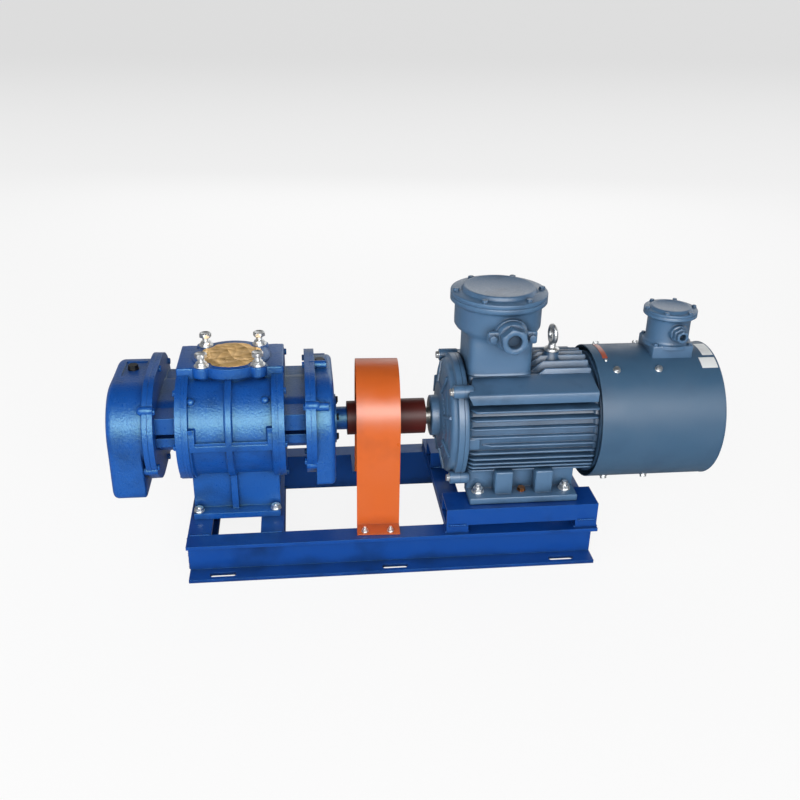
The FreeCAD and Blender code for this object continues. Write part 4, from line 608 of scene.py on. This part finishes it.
def casing_front():
    """The front half of the rotor casing as relief on its oval barrel: flanges at both
    ends, a ring round the middle, a belt under it and stepped corners, each edge eased
    over 3 mm. The barrel is 120 round the shafts and stands 0.3 proud of the solid."""
    across = np.unique(np.round(np.concatenate((
        np.linspace(-CASING_HALF - 0.2, CASING_HALF + 0.2, 60),
        np.linspace(-101, -66, 32), np.linspace(66, 101, 32), np.linspace(-16, 8, 20))), 2))[:, None]
    turn = np.radians(np.linspace(78, 286, 520))[None, :]
    barrel = oval_reach(turn, HALF_GAP, 120.0)
    height = barrel * np.sin(turn)
    depth = barrel * np.cos(turn)
    front = 1 - step_up(depth, -HALF_GAP + 6, 12)
    middle_ring = ridge(across, -12, 4, 3)
    belt = ridge(height, -13, 4, 3)
    frame_edge = np.where(across < 0, 93.0, 96.0)
    upright = step_up(np.abs(across), frame_edge, 3)
    corner = step_up(np.abs(across), frame_edge - 15, 3) * ridge(height, 0, 41, 3)
    lower = step_up(np.abs(across), frame_edge - 6, 3) * (1 - step_up(height, -4, 3))
    raised = np.maximum(np.maximum(middle_ring, belt), np.maximum(upright, np.maximum(corner, lower)))
    relief = RELIEF * front * raised
    rim = oval_reach(turn, HALF_GAP, 130.3)
    lug = np.where(np.sin(turn) > 0, block_reach(turn, 70.3, 145.3), 0.0)
    rim = np.maximum(rim, lug)
    wall = step_up(np.abs(across), 99, 4)
    reach = (oval_reach(turn, HALF_GAP, 120.3 + relief)) * (1 - wall) + rim * wall
    edge = np.clip((np.abs(across) - CASING_HALF + 1.8) / 2.0, 0, 1)
    reach = reach - 1.6 * edge ** 2
    grid = np.stack((BLOWER_X + np.broadcast_to(across, reach.shape), MID_Y + reach * np.cos(turn),
                     AXIS_Z + reach * np.sin(turn)), -1)
    hidden = np.stack((BLOWER_X + np.broadcast_to(across, reach.shape),
                       MID_Y + 0.8 * barrel * np.cos(turn) + 0 * across,
                       AXIS_Z + 0.8 * barrel * np.sin(turn) + 0 * across), -1)
    shell = capped(np.concatenate((grid, hidden[:, ::-1]), 1))
    knob_turn = 0.85
    outward = np.array((0, -math.cos(knob_turn), math.sin(knob_turn)))
    knob = [(0, 0), (0, 10), (19, 9), (22.5, 7.4), (24.4, 4), (25, 0)]
    knobs = []
    for x in (-86, 79):
        low_end = np.array((BLOWER_X + x, DRIVE_Y, AXIS_Z)) + 105 * outward
        knobs.append(turned(knob, low_end, outward, 32))
    piece("casing_front_casting", [(shell, False, True), *knobs], BLOWER_ENAMEL, sharp=60)


def gear_cover():
    """The gear cover: an oval cap of radius 111 round both shafts and, further out, a
    square sump below it, reach = min(166 / |cos|, 140 / |sin|) with eased corners. The
    end is rounded over 14 mm, and the top has a shallow flat for the oil plug."""
    low, high = node_box("gear_cover")
    joint = high[0]
    length = joint - low[0]
    turn = np.linspace(0, 2 * np.pi, 720, endpoint=False)
    flange = oval_reach(turn, HALF_GAP, 126.3)
    cap = oval_reach(turn, HALF_GAP, 111.2)
    power = 18
    square = (np.abs(np.cos(turn) / 166.2) ** power
              + np.abs(np.sin(turn) / 140.0) ** power) ** (-1 / power)
    sump = np.where(np.sin(turn) < 0, np.maximum(square, cap), cap)
    across = cap * np.cos(turn)
    flat = (np.abs(across + 19) < 43) & (np.sin(turn) > 0)
    lowered = np.where(flat, np.minimum(sump, 108.3 / np.maximum(np.sin(turn), 0.5)), sump)
    rows = [(0.0, flange - 14), (0.0, flange - 0.8), (0.8, flange), (11.2, flange), (12.2, flange - 1.4),
            (12.2, cap + 2.5), (13.0, cap + 0.8), (14.6, cap), (17.5, cap), (18.4, np.maximum(cap, sump - 6)),
            (19.4, np.maximum(cap, sump - 2)), (22.0, sump), (22.2, lowered), (length - 22.2, lowered),
            (length - 22, sump)]
    for angle in np.radians((0, 15, 30, 45, 60, 75, 90)):
        rows.append((length - 14 + 14 * np.sin(angle), sump - 14 * (1 - np.cos(angle))))
    rows.append((length, 0 * turn))
    inner_rows = [(0.0, flange - 14), (20.0, cap - 8), (length - 16, sump - 12), (length - 8, sump - 20),
                  (length - 8, 0 * turn)]
    shells = [rings((joint, MID_Y, AXIS_Z), (-1, 0, 0), [row[0] for row in wall],
                    np.array([row[1] for row in wall])) for wall in (rows, inner_rows)]
    piece("gear_cover_casting", shells, BLOWER_ENAMEL, replaces=("gear_cover",), sharp=40)


def cover_bosses():
    """Bolt bosses of the oil covers: short cylinders along X whose outer ends are domes."""
    gear_joint = node_box("gear_cover")[1][0]
    drive_joint = node_box("drive_cover")[0][0]
    reach = 120
    boss = [(0, 0), (0, 10.2), (1, 11), (26, 11), (30, 10.2), (33.4, 7.6), (35.4, 4), (36, 0)]
    grids = []
    for joint, out in ((gear_joint, -1), (drive_joint, 1)):
        for degrees in (139, 214):
            away = math.radians(degrees)
            place = (joint - 13 * out, DRIVE_Y + reach * math.cos(away), AXIS_Z + reach * math.sin(away))
            grids.append(turned(boss, place, (out, 0, 0), 40))
    piece("cover_boss_castings", grids, BLOWER_ENAMEL, sharp=50)


def lids():
    """The two box lids: a rim with a rounded edge, a hollow and a raised flat crown."""
    for name, node in (("terminal_lid_casting", "terminal_box_lid"), ("fan_lid_casting", "fan_box_lid")):
        low, high = node_box(node)
        middle = (low + high) / 2
        rim = (high[0] - low[0]) / 2
        crown = 0.74 * rim
        lift = (high[2] - low[2]) if node == "fan_box_lid" else 20.0
        start = high[2] - lift
        plate_top = 0.52 * lift if node == "terminal_box_lid" else 0.58 * lift
        rows = [(0, 0), (0, rim - 0.8), (0.8, rim), (plate_top - 2.2, rim), (plate_top - 0.7, rim - 0.6),
                (plate_top, rim - 2.2), (plate_top, crown + 5.5), (plate_top + 0.6, crown + 4.4),
                (plate_top + 1.8, crown + 3.6), (lift - 2.4, crown + 1.6), (lift - 0.7, crown + 0.4),
                (lift, crown - 2.0), (lift - 0.2, crown - 6.0), (lift - 0.9, crown - 8.0), (lift - 0.9, 0)]
        piece(name, [turned(rows, (middle[0], middle[1], start), (0, 0, 1), 120)], MOTOR_ENAMEL,
              replaces=(node,), sharp=50)


def terminal_box():
    """Cast box: its outline goes from a rounded square foot to a round drum, radius =
    (1 - share) * square + share * circle, with the share rising through the neck."""
    low, high = node_box("terminal_box_body")
    foot = low[2]
    turn = np.linspace(0, 2 * np.pi, 288, endpoint=False)
    square = 75.0 / (np.abs(np.cos(turn)) ** 7 + np.abs(np.sin(turn)) ** 7) ** (1 / 7)
    stations = [(foot, 0, 75, 2.5), (foot + 3, 0, 75, 0.6), (foot + 6, 0, 75, 0), (foot + 40, 0, 75, 0),
                (foot + 66, 0.0, 76, 0), (foot + 76, 0.06, 78, 0), (foot + 84, 0.3, 84, 0),
                (foot + 91, 0.68, 92, 0), (foot + 97, 0.92, 98, 0), (foot + 103, 1, 100, 0),
                (foot + 110, 1, 100.3, 0), (high[2] - 22, 1, 100.3, 0), (high[2] - 17, 1, 101.5, 0),
                (high[2] - 13.5, 1, 106, 0),
                (high[2] - 12, 1, 110.4, 0), (high[2] - 11, 1, 111.5, 0), (high[2] - 1.4, 1, 111.5, 0),
                (high[2] - 0.4, 1, 110.9, 0), (high[2], 1, 109.8, 0)]
    heights = []
    rows = []
    for height, share, drum, flare in stations:
        heights.append(height)
        rows.append((1 - share) * (square + flare) + share * drum)
    rows = [0 * rows[0]] + rows + [0 * rows[0]]
    heights = [heights[0]] + heights + [heights[-1]]
    drum_wall = rings((BOX_X, DRIVE_Y, 0.0), (0, 0, 1), heights, np.array(rows))
    boss_rows = [(30, 0), (30, 56), (44, 52), (54, 47), (60, 43.2), (66, 40.6), (72, 39.4), (80, 39),
                 (108, 39), (109.4, 38.2), (110, 36.5), (110, 0)]
    boss = turned(boss_rows, (BOX_ENTRY[0], DRIVE_Y, BOX_ENTRY[2]), (0, -1, 0), 96)
    piece("terminal_box_casting", [drum_wall, boss], MOTOR_ENAMEL,
          replaces=("terminal_box_body",), sharp=50)


def clamp_gland():
    """The supply cable's gland: a bar with two bolts, a turned collar and a big nut with
    an open bore that shows a few turns of thread."""
    x, y, z = BOX_ENTRY
    bar = block((x - 56, y - 12, z - 15), (x + 56, y + 0.5, z + 15), 5, 5)
    thread = [(39.0 - number, 16.6 if number % 2 else 15.4) for number in range(1, 22)]
    rows = [(0.5, 0), (0.5, 37), (9, 36), (12, 34), (15, 33), (16, 31), (16, 31.6, 27.4), (36, 31.6, 27.4),
            (38.4, 29, 27.4), (40, 26.4, 27.4), (40, 19), (39, 17.4), *thread, (18.0, 15.4), (18.0, 0)]
    nut = turned(rows, (x, y, z), (0, -1, 0), 96, phase=0.22)
    ears = [chamfered_bolt((x + step, y - 12, z), (0, -1, 0), 10) for step in (-44, 44)]
    piece("clamp_gland", [bar, nut], MOTOR_ENAMEL, replaces=("terminal_box_gland",), sharp=50)
    piece("clamp_gland_bolts", ears, MOTOR_ENAMEL)


def fan_box():
    """The small box on the cowl: a cast foot, a drum that flares out to
    its foot and to its rim, and a side boss with an open nut."""
    low, high = node_box("fan_box_body")
    x = (low[0] + high[0]) / 2
    base = 49.5
    foot_top = AXIS_Z + 184
    foot = block((x - base, DRIVE_Y - base, AXIS_Z + 146), (x + base, DRIVE_Y + base, foot_top), 4, 4)
    drum_rows = [(-8, 0), (-8, 57), (0, 56), (1.5, 53.5), (4, 51.2), (9, 50), (50, 50), (56, 50.8), (60, 53),
                 (63.5, 57.5), (64, 60.8), (65, 62), (70.8, 62), (72, 61), (72, 0)]
    drum = turned(drum_rows, (x, DRIVE_Y, foot_top), (0, 0, 1), 96)
    entry = np.array((x + 4, DRIVE_Y, AXIS_Z + 218))
    boss_rows = [(20, 0), (20, 30), (38, 28), (44, 24.5), (48, 21.4), (52, 20), (59, 20), (60, 19), (60, 0)]
    boss = turned(boss_rows, entry, (0, -1, 0), 64)
    piece("fan_box_casting", [foot, drum, boss], MOTOR_ENAMEL, replaces=("fan_box_body",),
          sharp=50)
    thread = [(22.0 - number, 7.4 if number % 2 else 6.6) for number in range(1, 16)]
    nut_rows = [(-2, 0), (-2, 18.4, 15.8), (0, 18.4, 15.8), (10, 18.4, 15.8), (11.4, 16.4, 15.8),
                (12, 14.6, 15.8), (12, 12.4), (17, 12.4), (18, 14.0, 12.6), (22, 14.0, 12.6), (23, 12.6),
                (23, 8.4), (22, 7.6), *thread, (7, 6.6), (7, 0)]
    gland = turned(nut_rows, entry - (0, 60, 0), (0, -1, 0), 60)
    piece("fan_box_gland_set", [gland], MOTOR_ENAMEL, replaces=("fan_box_gland",), sharp=50)


def fin(side, height, reach, root, start, stop, slant=20.0):
    """A side fin: its section is a thin tongue with a round tip, carried along X, and its
    first end slopes from the barrel out to the tip."""
    places = [start, start + slant * 0.5, start + slant, stop - 8, stop - 2, stop]
    tips = [root + 2, root + 0.52 * (reach - root), reach, reach, reach - 0.6, reach - 3]
    rows = []
    for place, tip in zip(places, tips):
        out = np.array([root - 8, tip - 1.6, tip - 0.5, tip, tip - 0.5, tip - 1.6, root - 8])
        up = np.array([-3.4, -2.4, -1.5, 0, 1.5, 2.4, 3.4])
        rows.append(np.stack((np.full(7, place), DRIVE_Y + side * out, AXIS_Z + height + up), -1))
    return capped(rows), False, True


def top_fin(across, start, stop):
    """A top fin: the same tongue standing up, its first end sloping back."""
    tip = math.sqrt(155.0 ** 2 - across ** 2)
    root = math.sqrt(128.0 ** 2 - across ** 2)
    places = [start, start + 16, start + 32, stop - 6, stop - 1, stop]
    tips = [root + 1, root + 0.55 * (tip - root), tip, tip, tip - 0.6, tip - 4]
    rows = []
    for place, top in zip(places, tips):
        up = np.array([root - 8, top - 1.6, top - 0.5, top, top - 0.5, top - 1.6, root - 8])
        out = np.array([-3.2, -2.4, -1.5, 0, 1.5, 2.4, 3.2])
        rows.append(np.stack((np.full(7, place), DRIVE_Y + across + out, AXIS_Z + up), -1))
    return capped(rows), False, True


def corner_rail(side, start, stop):
    """The flat rail along each upper corner: a gently sloping top, an upright lip and a
    first end cut back from the lip's top, both down and inwards."""
    out = np.array([60, 136.5, 139.3, 140.3, 140.3, 138.6, 134, 72, 60])
    up = np.array([90, 88.4, 89.2, 91.5, 111, 113.6, 115.2, 128.6, 128.6])
    cut = 0.30 * (140 - out) + 0.5 * np.clip(113 - up, 0, None) * (out > 100)
    rows = []
    for place, share in ((start, 1.0), (stop - 3, 0.0), (stop, 0.0)):
        rows.append(np.stack((place + share * cut, DRIVE_Y + side * out, AXIS_Z + up), -1))
    return capped(rows), False, True


def ears_at(x):
    """Places of the four bolt ears on a circle round the motor's axis."""
    away = np.radians((45, 135, 225, 315))
    across = EAR_CIRCLE * np.cos(away)
    up = EAR_CIRCLE * np.sin(away)
    return np.stack((np.full(4, x), DRIVE_Y + across, AXIS_Z + up), -1)


# height of each side fin above the axis and reach of its tip, and places of the top fins
SIDE_FINS = ((70, 140), (48, 140), (26, 140), (4, 140), (-17, 140), (-36, 140), (-52, 139), (-66, 135),
             (-79, 129), (-91, 122))
TOP_FINS = (-62, -37, -12, 13, 38, 63)


def motor_casting():
    """The finned frame: a turned barrel with a rim at each end, side fins, corner rails,
    top fins, the seat of the terminal box and the feet with their ribs."""
    start = SHOULDER_X + 66
    stop = SHOULDER_X + 383
    rows = [(0, 0), (0, 148.6), (1.4, 150), (9, 150), (10.8, 149), (13, 141), (15, 134), (19, 130.5),
            (24, 130), (303, 130), (306, 131), (308, 134), (310, 135.5), (316, 135.5), (317, 134.5), (317, 0)]
    grids = [turned(rows, (start, DRIVE_Y, AXIS_Z), (1, 0, 0), 144)]
    for side in (-1, 1):
        for number, (height, reach) in enumerate(SIDE_FINS):
            root = math.sqrt(130.0 ** 2 - height ** 2)
            behind_lug = side < 0 and number == 4
            first = start + (46 if behind_lug else 6)
            grids.append(fin(side, height, reach, min(root, reach - 6), first, stop - 3))
        grids.append(corner_rail(side, start + 6, stop - 10))
        edge = DRIVE_Y + side * 160
        inner = DRIVE_Y + side * 80
        foot_low = (FOOT_X - 24, min(edge, inner), PAD_TOP)
        foot_high = (FOOT_X - 24 + 258, max(edge, inner), PAD_TOP + 17)
        grids.append(block(foot_low, foot_high, 3, 4))
        wall = sorted((DRIVE_Y + side * 94, DRIVE_Y + side * 110))
        grids.append(block((FOOT_X - 24, wall[0], PAD_TOP + 8), (FOOT_X + 234, wall[1], AXIS_Z - 60), 4, 4))
        for place in (38, 134):
            rib = sorted((DRIVE_Y + side * 100, DRIVE_Y + side * 142))
            grids.append(block((FOOT_X + place, rib[0], PAD_TOP + 6),
                               (FOOT_X + place + 42, rib[1], AXIS_Z - 86), 4, 4))
    for across in TOP_FINS:
        grids.append(top_fin(across, SHOULDER_X + 232, stop - 10))
    grids.append(block((BOX_X - 75, DRIVE_Y - 75, AXIS_Z + 60),
                       (BOX_X + 75, DRIVE_Y + 75, AXIS_Z + 133), 10, 6))
    eye_seat = [(90, 0), (90, 26), (140, 24), (152, 19), (158, 17), (161.4, 16), (162, 15), (162, 0)]
    grids.append(turned(eye_seat, (EYE_X, DRIVE_Y, AXIS_Z), (0, 0, 1), 64))
    grids.append(block((start, DRIVE_Y - 140, AXIS_Z - 24), (start + 38, DRIVE_Y - 80, AXIS_Z + 4), 3, 4))
    ear = [(0, 0), (0, 15), (18, 15), (21, 13.5), (22.5, 10), (22.5, 0)]
    grids += [turned(ear, place, (1, 0, 0), 40) for place in ears_at(start - 0.5)]
    piece("motor_frame_casting", grids, MOTOR_ENAMEL, replaces=("motor_frame",), sharp=40)


def shield_casting():
    """The drive-end bell: a hub, a stepped cone of shallow rings with eight ribs and a
    ring of small knobs, and a thick rim with four ears."""
    rows = [(5, 0), (5, 46.5), (6.5, 49), (22, 49.5), (24, 51), (25, 56), (26.6, 76), (27.6, 80),
            (29.5, 82), (30.4, 85), (32.4, 101), (33.4, 104), (35.0, 106), (35.6, 110), (37, 124),
            (38.6, 131), (41.5, 136), (45.5, 138.6), (50.5, 139.4), (52, 141), (52.4, 147), (53.4, 149.6),
            (55, 150), (66, 150), (66, 0)]
    grids = [turned(rows, (SHOULDER_X, DRIVE_Y, AXIS_Z), (1, 0, 0), 144)]
    centre = np.array((SHOULDER_X, DRIVE_Y, AXIS_Z))
    for number in range(8):
        away = math.radians(22.5 + 45 * number)
        out = np.array((0, math.cos(away), math.sin(away)))
        path = [centre + 80 * out + (29, 0, 0), centre + 104 * out + (33.5, 0, 0),
                centre + 130 * out + (38, 0, 0)]
        grids.append(swept(path, circle(4.0, 16, 1.3), up=(1, 0, 0.001)))
    knob_count = 48
    knob = [(-1.5, 0), (-1.5, 2.4), (0.4, 2.2), (1.4, 1.2), (1.6, 0)]
    for number in range(knob_count):
        away = 2 * math.pi * number / knob_count
        place = centre + (28.6, 81.0 * math.cos(away), 81.0 * math.sin(away))
        grids.append(turned(knob, place, (-1, 0, 0), 8))
    ear = [(0, 0), (0, 13.5), (1.5, 15), (25.4, 15), (25.4, 0)]
    grids += [turned(ear, place, (1, 0, 0), 40) for place in ears_at(SHOULDER_X + 41)]
    piece("drive_end_bell", grids, MOTOR_ENAMEL, replaces=("drive_end_shield",), sharp=40)


def lifting_eye():
    """A forged eye, turned 4 degrees: a ring that thickens towards its shank, and a
    collar that flares. Thickness = 6 + 1.6 * (how far down the ring) ** 3."""
    seat = AXIS_Z + 162
    middle = np.array((EYE_X, DRIVE_Y, seat + 41))
    turn = np.linspace(0, 2 * np.pi, 72, endpoint=False)
    around = np.linspace(0, 2 * np.pi, 20, endpoint=False)
    thick = 6.0 + 1.6 * np.clip(-np.sin(turn), 0, 1) ** 3
    askew = math.radians(4)
    across = np.array((-math.sin(askew), math.cos(askew), 0.0))
    normal = np.array((math.cos(askew), math.sin(askew), 0.0))
    up = np.array((0, 0, 1.0))
    out = np.cos(turn)[:, None] * across + np.sin(turn)[:, None] * up
    ring = (middle + 19 * out[:, None] + (thick[:, None] * np.cos(around))[..., None] * out[:, None]
            + (thick[:, None] * np.sin(around))[..., None] * normal)
    collar = turned([(-0.4, 0), (-0.4, 16), (0.6, 18), (4.6, 18), (6.4, 16.6), (8, 12), (11, 9.4), (16, 8.4),
                     (20, 8.0), (20, 0)], (middle[0], middle[1], seat), (0, 0, 1), 48)
    piece("forged_eye", [(ring, True, True), collar], ZINC, replaces=("lifting_eye",), sharp=50)


def on_cowl(first_x, last_x, first_turn, last_turn, proud, thick=0.5):
    """A thin sheet lying on the cowl between two places along X and two turns from the
    rear side, in degrees, closed round its edges."""
    x = np.linspace(first_x, last_x, 6)[:, None]
    turn = np.radians(np.linspace(first_turn, last_turn, 24))[None, :]
    sheets = []
    for radius in (COWL_RADIUS + proud, COWL_RADIUS + proud - thick):
        sheets.append(np.stack((x + 0 * turn, DRIVE_Y + radius * np.cos(turn) + 0 * x,
                                AXIS_Z + radius * np.sin(turn) + 0 * x), -1))
    return capped(np.concatenate((sheets[0], sheets[1][:, ::-1]), 1)), False, True


def cowl_trim():
    """What the cowl carries: screws with washers, a bare rotation plate with two pins,
    two blank labels and the rolled bead at its open end."""
    heads = []
    for low, high in solids("cowl_screws"):
        middle = (low + high) / 2
        out = np.array((0.0, middle[1] - DRIVE_Y, middle[2] - AXIS_Z))
        out /= np.linalg.norm(out)
        seat = np.array((middle[0], DRIVE_Y, AXIS_Z)) + (COWL_RADIUS + 0.1) * out
        heads.append(chamfered_bolt(seat, out, 8.5))
    piece("cowl_screw_heads", heads, ZINC, replaces=("cowl_screws",))
    piece("rotation_plate", [on_cowl(495.5, 507.5, 76, 106, 0.9, 0.8)], PLATE)
    pins = []
    for angle in (73.5, 108.5):
        away = math.radians(angle)
        out = np.array((0.0, math.cos(away), math.sin(away)))
        pins.append(turned([(-0.3, 0), (-0.3, 4), (1.0, 4), (2.6, 2.6), (3.0, 0)],
                           np.array((501.5, DRIVE_Y, AXIS_Z)) + COWL_RADIUS * out, out, 24))
    piece("rotation_plate_pins", pins, ZINC)
    piece("blank_labels", [on_cowl(740, 766.5, 84, 105, 0.35, 0.3), on_cowl(727, 765.5, 108, 120, 0.35, 0.3)],
          PAPER)
    cowl_end = node_box("fan_cowl")[1][0]
    bead = [(-3.4, 162.0), (-2.6, 162.8), (-1.2, 163.0), (-0.2, 162.4), (-0.05, 161.0), (-0.3, 159.3),
            (-3.0, 159.3)]
    edge = turned(bead, (cowl_end, DRIVE_Y, AXIS_Z), (1, 0, 0), 160)[0]
    piece("cowl_rolled_edge", [(edge, True, True)], SHEET_ENAMEL, sharp=60)


def weld(path, radius=3.2, step=2.6):
    """A weld bead: a round cord along a path, swelling and shrinking with each stitch."""
    path = np.asarray(path, float)
    lengths = np.linalg.norm(np.diff(path, axis=0), axis=1)
    total = lengths.sum()
    along = np.linspace(0, total, max(int(total / step * 3), 8))
    ends = np.concatenate(([0], np.cumsum(lengths)))
    places = np.stack([np.interp(along, ends, path[:, k]) for k in range(3)], -1)
    swell = 1 + 0.13 * np.sin(2 * np.pi * along / (2 * step)) + 0.08 * np.sin(along * 0.37)
    return swept(places, circle(radius, 10), up=(0.13, 0.21, 0.97), scale=swell)


def welds():
    """Beads where the bars, pads and cross members of the base meet."""
    bars = solids("motor_cross_bars")
    grids = []
    for low, high in bars:
        for x in (low[0], high[0]):
            for y in (-200, 190):
                grids.append(weld([(x, y - 18, 100.5), (x, y + 18, 100.5)], 3.0))
    for node in ("motor_pad_front", "motor_pad_rear"):
        low, high = node_box(node)
        for bar_low, bar_high in bars:
            for y in (low[1], high[1]):
                grids.append(weld([(bar_low[0] + 6, y, bar_high[2] + 0.5),
                                   (bar_high[0] - 6, y, bar_high[2] + 0.5)], 3.0))
    for node in ("base_cross_left", "base_cross_right"):
        low, high = node_box(node)
        for y in (low[1], high[1]):
            grids.append(weld([(low[0], y, 8), (low[0], y, 92)], 3.0))
            grids.append(weld([(low[0] + 4, y, high[2] - 0.5), (high[0] - 4, y, high[2] - 0.5)], 2.4))
    piece("weld_beads", grids, BASE_ENAMEL, sharp=80)


all_fasteners()
inlet_bolts()
inlet_foil()
port_flange()
casing_front()
gear_cover()
cover_bosses()
lids()
terminal_box()
clamp_gland()
fan_box()
motor_casting()
shield_casting()
lifting_eye()
cowl_trim()
welds()


# the floor, in metres, and its own light: what the camera sees and what it gives the object
FLOOR_SIZE = 60.0
FLOOR_MIDDLE = (0, 20, 0)
FLOOR_SEEN = 1.08
FLOOR_GIVEN = 0.22
# light of the pale room: on matt surfaces, and where the camera looks past the floor
ROOM_GIVEN = 0.18
ROOM_SEEN = 0.78
# name, place, width, height, watts, whether it lights matt surfaces, whether gloss shows it
LAMPS = (("high_window", (-0.2, -3.9, 2.35), 4.6, 1.9, 120, True, True),
         ("window_sheen", (-0.2, -3.9, 2.35), 4.6, 1.9, 330, False, True),
         ("low_front_panel", (0.2, -4.2, 0.9), 5.0, 1.6, 80, True, False),
         ("left_wall", (-3.6, -1.6, 1.4), 2.4, 2.0, 45, True, False),
         ("rear_wall", (0.4, 3.8, 1.6), 4.0, 1.6, 50, True, False))
LAMP_AIM = (0, 0, 0.3)


def stage():
    """A pale floor that turns a little greyer far away, a pale world and soft lamps. In
    gloss the room is brightest near the horizon, behind the object and to its right."""
    bpy.ops.mesh.primitive_plane_add(size=FLOOR_SIZE, location=FLOOR_MIDDLE)
    floor = bpy.context.object
    floor.name = "floor"
    material, tree, shader = fresh_material("pale_floor", roughness=0.7, base_color=srgb("cfcfcf"))
    place = add(tree, "ShaderNodeTexCoord").outputs["Object"]
    apart = add(tree, "ShaderNodeSeparateXYZ", {"Vector": place})
    far = add(tree, "ShaderNodeMapRange", {0: apart.outputs[1], 1: -20.0, 2: -6.0, 3: 0.0, 4: 1.0},
              interpolation_type="SMOOTHSTEP")
    tone = add(tree, "ShaderNodeMix", {0: far.outputs[0], 6: srgb("fefefe"), 7: srgb("e6e6e6")},
               data_type="RGBA")
    path = add(tree, "ShaderNodeLightPath")
    strength = add(tree, "ShaderNodeMapRange",
                   {0: path.outputs["Is Camera Ray"], 3: FLOOR_GIVEN, 4: FLOOR_SEEN})
    glow = add(tree, "ShaderNodeEmission", {"Color": tone.outputs[2], "Strength": strength.outputs[0]})
    seen = add(tree, "ShaderNodeMath", {0: path.outputs["Is Camera Ray"], 1: path.outputs["Is Glossy Ray"]},
               operation="MAXIMUM")
    share = add(tree, "ShaderNodeMath", {0: seen.outputs[0], 1: 0.82}, operation="MULTIPLY")
    mixed = add(tree, "ShaderNodeMixShader", {0: share.outputs[0], 1: shader.outputs[0], 2: glow.outputs[0]})
    output = next(node for node in tree.nodes if node.type == "OUTPUT_MATERIAL")
    tree.links.new(mixed.outputs[0], output.inputs["Surface"])
    floor.data.materials.append(material)

    world = bpy.data.worlds.new("pale_room")
    bpy.context.scene.world = world
    world.use_nodes = True
    tree = world.node_tree
    tree.nodes.clear()
    way = add(tree, "ShaderNodeTexCoord").outputs["Generated"]
    rise = add(tree, "ShaderNodeSeparateXYZ", {"Vector": way})
    wall = add(tree, "ShaderNodeMapRange", {0: rise.outputs[2], 1: 0.46, 2: 0.62, 3: 1.5, 4: 0.1})
    back = add(tree, "ShaderNodeMapRange", {0: rise.outputs[1], 1: -0.3, 2: 0.3, 3: 0.15, 4: 1.0})
    side = add(tree, "ShaderNodeMapRange", {0: rise.outputs[0], 1: -0.1, 2: 0.15, 3: 0.3, 4: 1.0})
    far_wall = add(tree, "ShaderNodeMath", {0: wall.outputs[0], 1: back.outputs[0]}, operation="MULTIPLY")
    bright = add(tree, "ShaderNodeMath", {0: far_wall.outputs[0], 1: side.outputs[0]}, operation="MULTIPLY")
    path = add(tree, "ShaderNodeLightPath")
    strength = add(tree, "ShaderNodeMapRange",
                   {0: path.outputs["Is Glossy Ray"], 3: ROOM_GIVEN, 4: bright.outputs[0]})
    open_room = add(tree, "ShaderNodeMapRange",
                    {0: path.outputs["Is Camera Ray"], 3: strength.outputs[0], 4: ROOM_SEEN})
    sky = add(tree, "ShaderNodeBackground", {"Color": srgb("f4f4f4"), "Strength": open_room.outputs[0]})
    add(tree, "ShaderNodeOutputWorld", {"Surface": sky.outputs[0]})

    for name, place, width, height, power, lights_matt, shows in LAMPS:
        lamp = bpy.data.lights.new(name, "AREA")
        lamp.shape = "RECTANGLE"
        lamp.size = width
        lamp.size_y = height
        lamp.energy = power
        thing = bpy.data.objects.new(name, lamp)
        thing.visible_diffuse = lights_matt
        thing.visible_glossy = shows
        thing.location = place
        thing.rotation_euler = (Vector(LAMP_AIM) - Vector(place)).to_track_quat("-Z", "Y").to_euler()
        bpy.context.scene.collection.objects.link(thing)


stage()
bpy.context.scene.view_settings.view_transform = "Standard"
